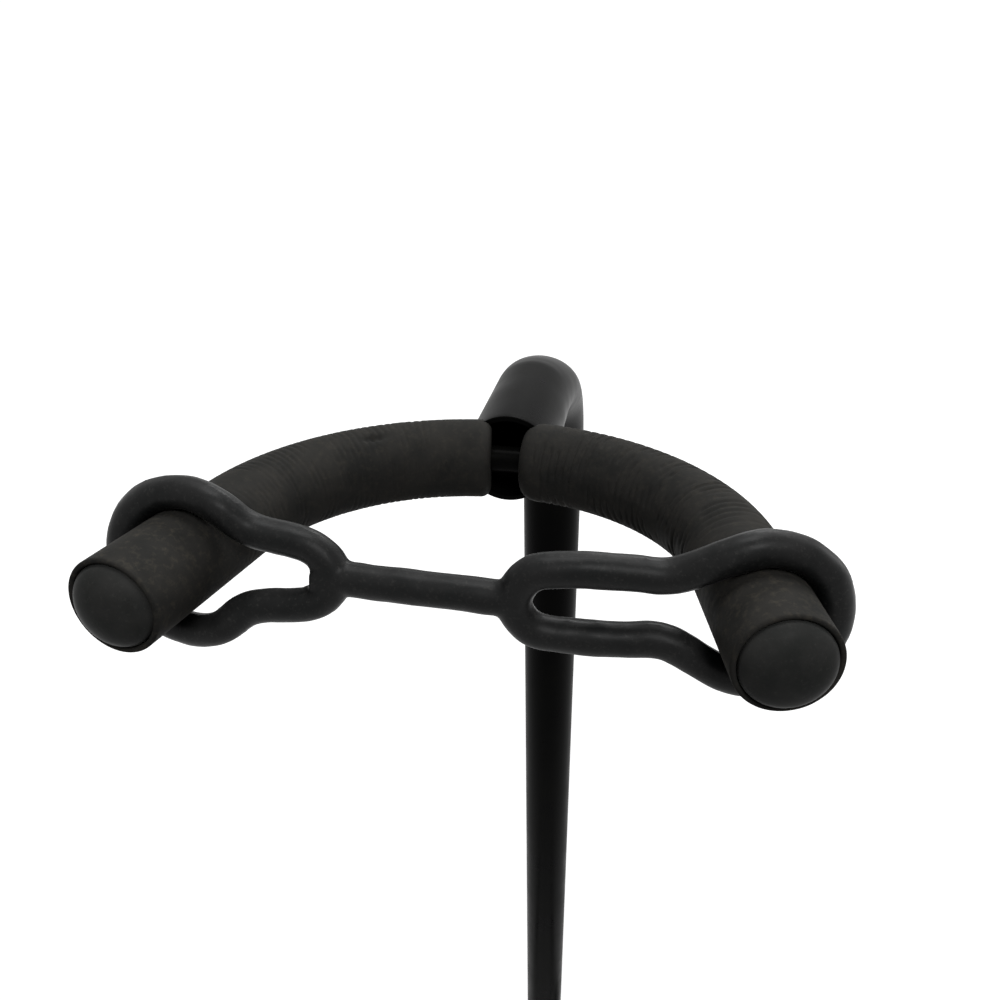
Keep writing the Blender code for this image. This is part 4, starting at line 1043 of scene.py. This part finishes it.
ends = [on_post(corner[2]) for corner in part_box("lower_tube")]
straight_tube("lower_tube_enamelled", "lower_tube", *ends, LOWER_TUBE_R, LOWER_TUBE_WALL, 96)
legs = {}
for word, (degrees, reach) in LEG_TURN_REACH.items():
    out = Vector((math.cos(math.radians(degrees)), math.sin(math.radians(degrees)), 0))
    pivot = joint_place[f"leg_{word}_fold"]
    foot = on_post(FOOT_AXIS) + out * reach
    down = (foot - pivot).normalized()
    legs[word] = (pivot, foot, down, out)
    straight_tube(f"leg_tube_enamelled_{word}", f"leg_tube_{word}", pivot + down * LEG_START,
                  foot - down * LEG_SHORT, LEG_R, LEG_WALL, 72)

# %% [markdown]
# ## The feet
# A foot is a rubber pad moulded to a slanting socket for the leg's tube. Three grip rings run
# round the socket, so that a hand can twist the foot on. The pad and the socket are wound, then
# moulded into one skin, and the bore is cut last, so that its wall stays true.

# %% Feet
SOCKET_LENGTH = 30.0 * MM
BORE_PAST, BORE_FLOOR = 5 * MM, 2.8 * MM
UP, FRONT, OUTWARD = Vector((0, 0, 1)), Vector((0, -1, 0)), Vector((1, 0, 0))


def turned(name, start, heading, rows, sides, mat, **extras):
    """A piece turned about a straight line. rows: (mm along, mm radius) pairs."""
    outline = [(a * MM, r * MM) for a, r in rows]
    reach = max(a for a, _ in outline)
    path = straight(start, start + heading * reach * 1.05)
    return wound(name, path, outline, sides, mat, **extras)


def grooves(middles, radius, depth, floor_half, mouth_half):
    """The rows of grooves turned into a skin, in millimetres."""
    return [
        (middle + step, radius - drop) for middle in middles for step, drop in (
            (-mouth_half, 0), (-floor_half, depth), (floor_half, depth), (mouth_half, 0))
    ]


PAD_ROWS = [
    (0, 0), (0, 6), (0.5, 7), (0.5, 11.5), (0, 12.4), (0, 13.2), (1.8, 14.9), (3, 15),
    (8, 15), (13.2, 14.9), (15.2, 13.4), (16, 11.5), (16, 0),
]
GRIP_ROWS = [
    (0, 0), (0, 11.2), (0.8, 12.1), (3, 12.4), (6, 12.4),
    *grooves((12, 17, 22), 12.3, 0.6, 0.7, 1.4), (27, 12.4), (30, 12.2), (30, 0),
]
for word, (_, foot, down, _) in legs.items():
    pad = turned("pad", Vector((foot.x, foot.y, 0)), UP, PAD_ROWS, 72, FOOT_RUBBER)
    grip = turned("grip", foot - down * SOCKET_LENGTH, down, GRIP_ROWS, 72, FOOT_RUBBER)
    skin = moulded(f"foot_moulded_{word}", [pad, grip], FOOT_RUBBER, 0.6 * MM, 6)
    bore = cutter(foot - down * (SOCKET_LENGTH + BORE_PAST), foot - down * BORE_FLOOR,
                  LEG_R + 0.3 * MM, 72)
    keep(carved(skin, bore), f"foot_{word}")

# %% [markdown]
# ## The knob and the clamp screw
# The knob is a nylon moulding on the clamp screw, with six lobes that fit the fingers and a
# shallow dish in its face. It is the same winding, with the tree's scallops turned on. The screw
# is a rod with a rolled thread, drawn as rings a millimetre apart.

# %% Knob and screw
CLAMP = joint_place["clamp_turn"]
KNOB_R, KNOB_START = 16.0, 3 * MM
rows = [(0.0, 3.3), (0.0, 7.4), (0.3, 8.0), (2.7, 8.9), (5.2, 9.8)]
rows += [(5.4 + 2.2 * i / 8, 9.9 + 6.1 * math.sin(t)) for i, t in enumerate(quarter(8))]
rows += skin_rows(7.6, 15.2, KNOB_R, 0.8)
rows += [(15.2 + 2.8 * math.sin(t), KNOB_R - 3.2 * (1 - math.cos(t))) for t in quarter(8)]
rows += [(17.9, 12.0), (17.3, 9.6), (17.1, 5.0), (17.1, 0.0), (12.0, 0.0), (12.0, 3.3)]
knob = turned("clamp_knob_lobed", CLAMP + OUTWARD * KNOB_START, OUTWARD, rows, 144, NYLON,
              Skin_Radius=KNOB_R * MM, Lobes=6.0, Lobe_Depth=2.7 * MM)
keep(knob, "clamp_knob")


def threaded(start, end, radius, pitch, depth=0.25):
    """Rings of a rolled thread between two distances, in millimetres."""
    rows = []
    for i in range(int((end - start) / pitch)):
        at = start + i * pitch
        rows += [(at, radius - depth), (at + pitch * 0.35, radius), (at + pitch * 0.65, radius)]
    return rows + [(end, radius - depth)]


low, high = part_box("clamp_screw")
long = (high[0] - low[0]) / MM
rows = [(0, 0), (0, 2.4)] + threaded(0.4, long - 0.3, 3.0, 1.0) + [(long, 2.5), (long, 0)]
start = Vector((low[0], POST_Y, CLAMP.z))
keep(turned("clamp_screw_threaded", start, OUTWARD, rows, 40, ZINC), "clamp_screw")

# %% [markdown]
# ## Screws, bolts and nuts
# Cap screws with a hexagon socket hold the cradle's cap and the collar, grub screws hold the hub
# and the bracket, and a hexagon bolt with a nut carries each leg. Each kind is turned once, from
# its head downwards, and copied to its places by the second tree. The tree's hexagon cuts the
# flats of a socket, a head or a nut.


# %% One of each kind
def cap_screw(shank_r, head_r, head_high, end, flats):
    """A cap screw whose seat is at zero. Its socket is a hexagon sunk in the head."""
    top = -head_high
    deep = top + head_high * 0.55
    return [
        (deep, 0), (deep, flats), (top + 0.15, flats), (top, flats + 0.25), (top, head_r - 0.4),
        (top + 0.12, head_r - 0.12), (top + 0.4, head_r), (-0.1, head_r), (0, head_r - 0.1),
        (0, shank_r), (1.0, shank_r), *threaded(1.2, end - 0.4, shank_r, 0.7, 0.15),
        (end, shank_r - 0.5), (end, 0),
    ]


def grub_screw(radius, length, flats):
    return [
        (2.4, 0), (2.4, flats), (0.2, flats), (0, flats + 0.25), (0, radius - 0.4),
        *threaded(0.3, length - 0.5, radius, 0.8, 0.15), (length, radius - 0.6), (length, 0),
    ]


def hexagon(corner, high, bore):
    """The rows of a chamfered hexagon, with its under side at zero, running from the top down."""
    return [
        (-high, bore), (-high, corner * 0.84), (-high + 0.25, corner * 0.90),
        (-high + 0.8, corner), (-0.15, corner), (0.0, corner * 0.86),
    ]


BOLT = [*hexagon(5.8, 4.0, 0), (0.0, 3.0), (24.0, 3.0), *threaded(24.4, 30.8, 3.0, 1.0, 0.2),
        (31.2, 2.6), (31.2, 0)]
NUT = [*hexagon(5.8, 4.0, 3.3), (0.0, 3.3)]
WHOLE_HEAD = 99.0


def copied_screws(name, rows, sides, flats, below, spots, *nodes):
    """Turns one screw on the origin, along Z, and copies it. Rows may start above the origin.
    flats: half the hexagon's width. below: how wide the outline may be and still get flats."""
    first = min(a for a, _ in rows)
    screw = turned("screw", Vector((0, 0, 0)), -UP, [(a - first, r) for a, r in rows], sides, ZINC,
                   Flat_Radius=flats * MM, Flats_Below=below * MM)
    screw.data.transform(Matrix.Translation((0, 0, -first * MM)))
    keep(copied(name, screw, spots, ZINC), *nodes)


print("rows of the bolt and the nut:", len(BOLT), len(NUT))

# %% [markdown]
# ### Their places
# Each head has a seat point and a heading that looks out of the seat. Four cap screws hold the
# cradle's cap, two pull the collar together from front and back, three grub screws press on the
# column from the hub and the bracket, and a bolt and its nut face each other on the ears of
# every leg.

# %% Copies on their seats
BRACKET_BACK = 34 * MM
BRACKET = on_post(215 * MM) + FRONT * BRACKET_BACK
CAP_SEAT, CAP_ACROSS, CAP_UP = 7.6 * MM, 15.0 * MM, 8.15 * MM
COLLAR_SCREWS, COLLAR_SEAT = on_post(275 * MM), 19.8 * MM
HUB_SCREWS, GRUB_LENGTH, GRUB_START = on_post(153.5 * MM), 7.0, 14.6 * MM
GRUB_HEAD = GRUB_START + GRUB_LENGTH * MM
EARS_FACE = 13.1 * MM

spots = [(BRACKET + Vector((x, -CAP_SEAT, z)), FRONT)
         for x in (-CAP_ACROSS, CAP_ACROSS) for z in (-CAP_UP, CAP_UP)]
corners = [f"cap_screw_{row}_{word}" for row in ("lower", "upper") for _, word in SIDES]
copied_screws("cap_screws_zinc", cap_screw(2.0, 3.4, 2.4, 9.0, 1.7), 48, 1.45, 1.72, spots,
              *corners)

spots = [(COLLAR_SCREWS + FRONT * s * COLLAR_SEAT, FRONT * s) for s in (1, -1)]
copied_screws("collar_screws_zinc", cap_screw(1.9, 3.6, 2.4, 6.7, 1.85), 48, 1.6, 1.87, spots,
              "collar_screw_front", "collar_screw_back")

spots = [(HUB_SCREWS + OUTWARD * s * GRUB_HEAD, OUTWARD * s) for s in (-1, 1)]
spots.append((BRACKET + Vector((0, BRACKET_BACK + GRUB_HEAD, 0)), -FRONT))
copied_screws("grub_screws_zinc", grub_screw(2.5, GRUB_LENGTH, 1.45), 48, 1.25, 1.47, spots,
              "hub_screw_left", "hub_screw_right", "cradle_set_screw")

for kind, rows, way in (("bolt", BOLT, 1), ("nut", NUT, -1)):
    spots = []
    for pivot, _, _, out in legs.values():
        along = Vector((out.y, -out.x, 0)) * way
        spots.append((pivot + along * EARS_FACE, along))
    copied_screws(f"pivot_{kind}s_zinc", rows, 72, 5.02, WHOLE_HEAD, spots,
                  *(f"pivot_{kind}_{word}" for word in legs))

# %% [markdown]
# ## The clamp collar
# The collar is one nylon moulding: a sleeve over both tubes and a boss for the clamp screw. Four
# shallow grooves run round it, where a real collar is cored out to keep its walls even. The
# sleeve and the boss are moulded into one skin. The stepped bore and the screws' holes are cut.

# %% Collar
COLLAR_R, COLLAR_LOW, COLLAR_TALL = 19.5, 264.0 * MM, 54.0
CLAMP_LINE = on_post(CLAMP.z)
BORES = (
    (on_post(250 * MM), on_post(292.6 * MM), 14.6 * MM, 96),
    (on_post(280 * MM), on_post(330 * MM), 11.4 * MM, 96),
    (CLAMP_LINE + OUTWARD * 6 * MM, CLAMP_LINE + OUTWARD * 36 * MM, 3.3 * MM, 48),
    (COLLAR_SCREWS + FRONT * 25 * MM, COLLAR_SCREWS - FRONT * 25 * MM, 2.2 * MM, 32),
)
body = turned("body", on_post(COLLAR_LOW), UP, [
    (0, 0), (0, 17.9), (0.4, 18.7), (1.4, COLLAR_R), (4.5, COLLAR_R),
    *grooves((20, 24, 28, 32), COLLAR_R, 0.7, 0.6, 1.2), (50.5, COLLAR_R), (52.6, 18.9),
    (53.6, 17.7), (COLLAR_TALL, 16.4), (COLLAR_TALL, 0),
], 144, NYLON)
boss = turned("boss", CLAMP_LINE + OUTWARD * 12 * MM, OUTWARD, [
    (0, 0), (0, 8.5), (16.6, 8.5), (17.7, 7.9), (18, 6.9), (18, 0),
], 96, NYLON)
collar = moulded("clamp_collar_moulded", [body, boss], NYLON, 0.55 * MM, 5)
keep(carved(collar, *(cutter(*bore) for bore in BORES)), "clamp_collar")

# %% [markdown]
# ## Turned nylon pieces
# A bush lines the lower tube's mouth, a plug guides the upper tube's end inside it, and a cap
# closes the column at the bottom. All three are simple turnings with broken edges.

# %% Bush, guide plug and bottom cap
BUSH_LOW = 270 * MM
TURNINGS = {
    "collar_bush": (BUSH_LOW, [
        (0, 11.4), (0, 12.1), (0.4, 12.5), (20.3, 12.5), (20.3, 14.0), (20.6, 14.3), (22.0, 14.3),
        (22.3, 14.0), (22.3, 11.7), (22.0, 11.4),
    ]),
    "tube_guide_plug": (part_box("tube_guide_plug")[0][2], [
        (0, 0), (0, 12.0), (0.5, 12.5), (3.5, 12.5), (4.0, 12.0), (4.0, 9.6), (5.0, 9.6),
        (16.8, 9.5), (18, 8.8), (18, 0),
    ]),
    "hub_bottom_cap": (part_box("hub_bottom_cap")[0][2], [
        (0.6, 0), (0.6, 10.6), (0, 11.4), (0, 13.2), (0.3, 13.9), (1.0, 14.3), (3.4, 14.3),
        (3.7, 14.0), (3.7, 12.4), (6.0, 12.5), (12.6, 12.5), (14.0, 11.6), (14.0, 0),
    ]),
}
for node, (low, rows) in TURNINGS.items():
    keep(turned(node + "_turned", on_post(low), UP, rows, 96, NYLON), node)

# %% [markdown]
# ## The brackets, the hub and the small mouldings
# The hub and the brackets are castings, and their shapes are right in the frame. Each gets a
# merged copy with softened edges, because paint and moulding never leave a sharp corner.

# %% Softened copies
FINISHES = {"black_painted_steel": ENAMEL, "black_moulded_nylon": NYLON}


def softened(node, width):
    mesh = frame["nodes"][node].data.copy()
    bm = bmesh.new()
    bm.from_mesh(mesh)
    bmesh.ops.remove_doubles(bm, verts=bm.verts, dist=0.001 * MM)
    bmesh.ops.dissolve_limit(bm, angle_limit=math.radians(1), verts=bm.verts, edges=bm.edges)
    bm.to_mesh(mesh)
    bm.free()
    mesh.materials.clear()
    mesh.materials.append(FINISHES[SLOT_OF[node]])
    obj = linked(node + "_softened", mesh)
    bevel = obj.modifiers.new("edges", "BEVEL")
    bevel.width = width
    bevel.segments = 3
    bevel.limit_method = "ANGLE"
    bevel.angle_limit = math.radians(35)
    return keep(smoothed(applied(obj), 40), node)


for node in BODY_OF:
    if node not in dressed_nodes:
        softened(node, 0.4 * MM)

# %% [markdown]
# ## Studio
# The floor is a broad pale disc. Near the stand it takes the lamps' light and keeps the soft
# shadow. Further out it glows up to plain white, so it has no visible edge. The sky and the
# floor are white to the camera and in reflections, and the sky is dim as a light, so that the
# black finishes stay black and a white sheen runs along their edges.

# %% Floor and sky
FLOOR_RADIUS = 14.0
GLOW_FROM, GLOW_TO, GLOW_NEAR = 0.3, 1.2, 0.69
SKY_LIGHT = 0.02


def white_rays(add):
    """One for every ray that should see plain white: camera, glossy and transmission."""
    rays = add("ShaderNodeLightPath").outputs
    seen = add(MATH, [rays["Is Camera Ray"], rays["Is Glossy Ray"]], operation="ADD")
    return add(MATH, [seen, rays["Is Transmission Ray"]], operation="ADD", use_clamp=True)


def studio_floor():
    mesh = bpy.data.meshes.new("floor")
    bm = bmesh.new()
    bmesh.ops.create_circle(bm, cap_ends=True, segments=96, radius=FLOOR_RADIUS)
    bm.to_mesh(mesh)
    bm.free()
    floor = linked("floor", mesh)
    mat = bpy.data.materials.new("matt_white_floor")
    add = emptied(mat)
    far = add(VECTOR, [add(PLACE).outputs["Object"]], operation="LENGTH").outputs["Value"]
    glow = add(RANGE, [far, GLOW_FROM, GLOW_TO, GLOW_NEAR], **SMOOTH)
    glow = add(MATH, [glow, white_rays(add)], operation="MULTIPLY")
    paint = add("ShaderNodeBsdfPrincipled", {
        "Base Color": colour("#bcbcbc"), "Roughness": 0.9, "Emission Color": WHITE,
        "Emission Strength": glow,
    })
    add("ShaderNodeOutputMaterial", {"Surface": paint})
    mesh.materials.append(mat)


def studio_sky():
    world = bpy.data.worlds.new("studio")
    bpy.context.scene.world = world
    add = emptied(world)
    level = add(RANGE, [white_rays(add), 0.0, 1.0, SKY_LIGHT])
    sky = add("ShaderNodeBackground", {"Color": WHITE, "Strength": level})
    add("ShaderNodeOutputWorld", {"Surface": sky})


studio_floor()
studio_sky()
print("a white floor", FLOOR_RADIUS * 2, "m across, under a white sky")

# %% [markdown]
# ## Lamps
# Four softboxes light the head. One in front fills the domes, one above lights the yoke, a wide
# one behind draws the long sheen on the tube's bend, and a tall one at the right draws the edge
# of the post.

# %% Softboxes
SOFTBOXES = {
    "front_softbox": ((0.3, -0.75, 2.0), (0, -0.1, 0.85), (0.45, 0.45), 9),
    "top_softbox": ((-0.1, 0.35, 2.1), (0, -0.05, 0.85), (0.6, 0.6), 9),
    "back_softbox": ((0.3, 1.3, 1.75), (0, 0, 0.85), (0.9, 0.5), 15),
    "edge_softbox": ((1.3, 0.8, 1.2), (0, 0, 0.75), (0.3, 1.0), 4),
}
for name, (place, target, size, watts) in SOFTBOXES.items():
    lamp = bpy.data.lights.new(name, "AREA")
    lamp.shape = "RECTANGLE"
    lamp.size, lamp.size_y = size
    lamp.energy = watts
    softbox = linked(name, lamp)
    softbox.location = place
    softbox.rotation_euler = (Vector(target) - Vector(place)).to_track_quat("-Z", "Y").to_euler()
    print(name, watts, "W")
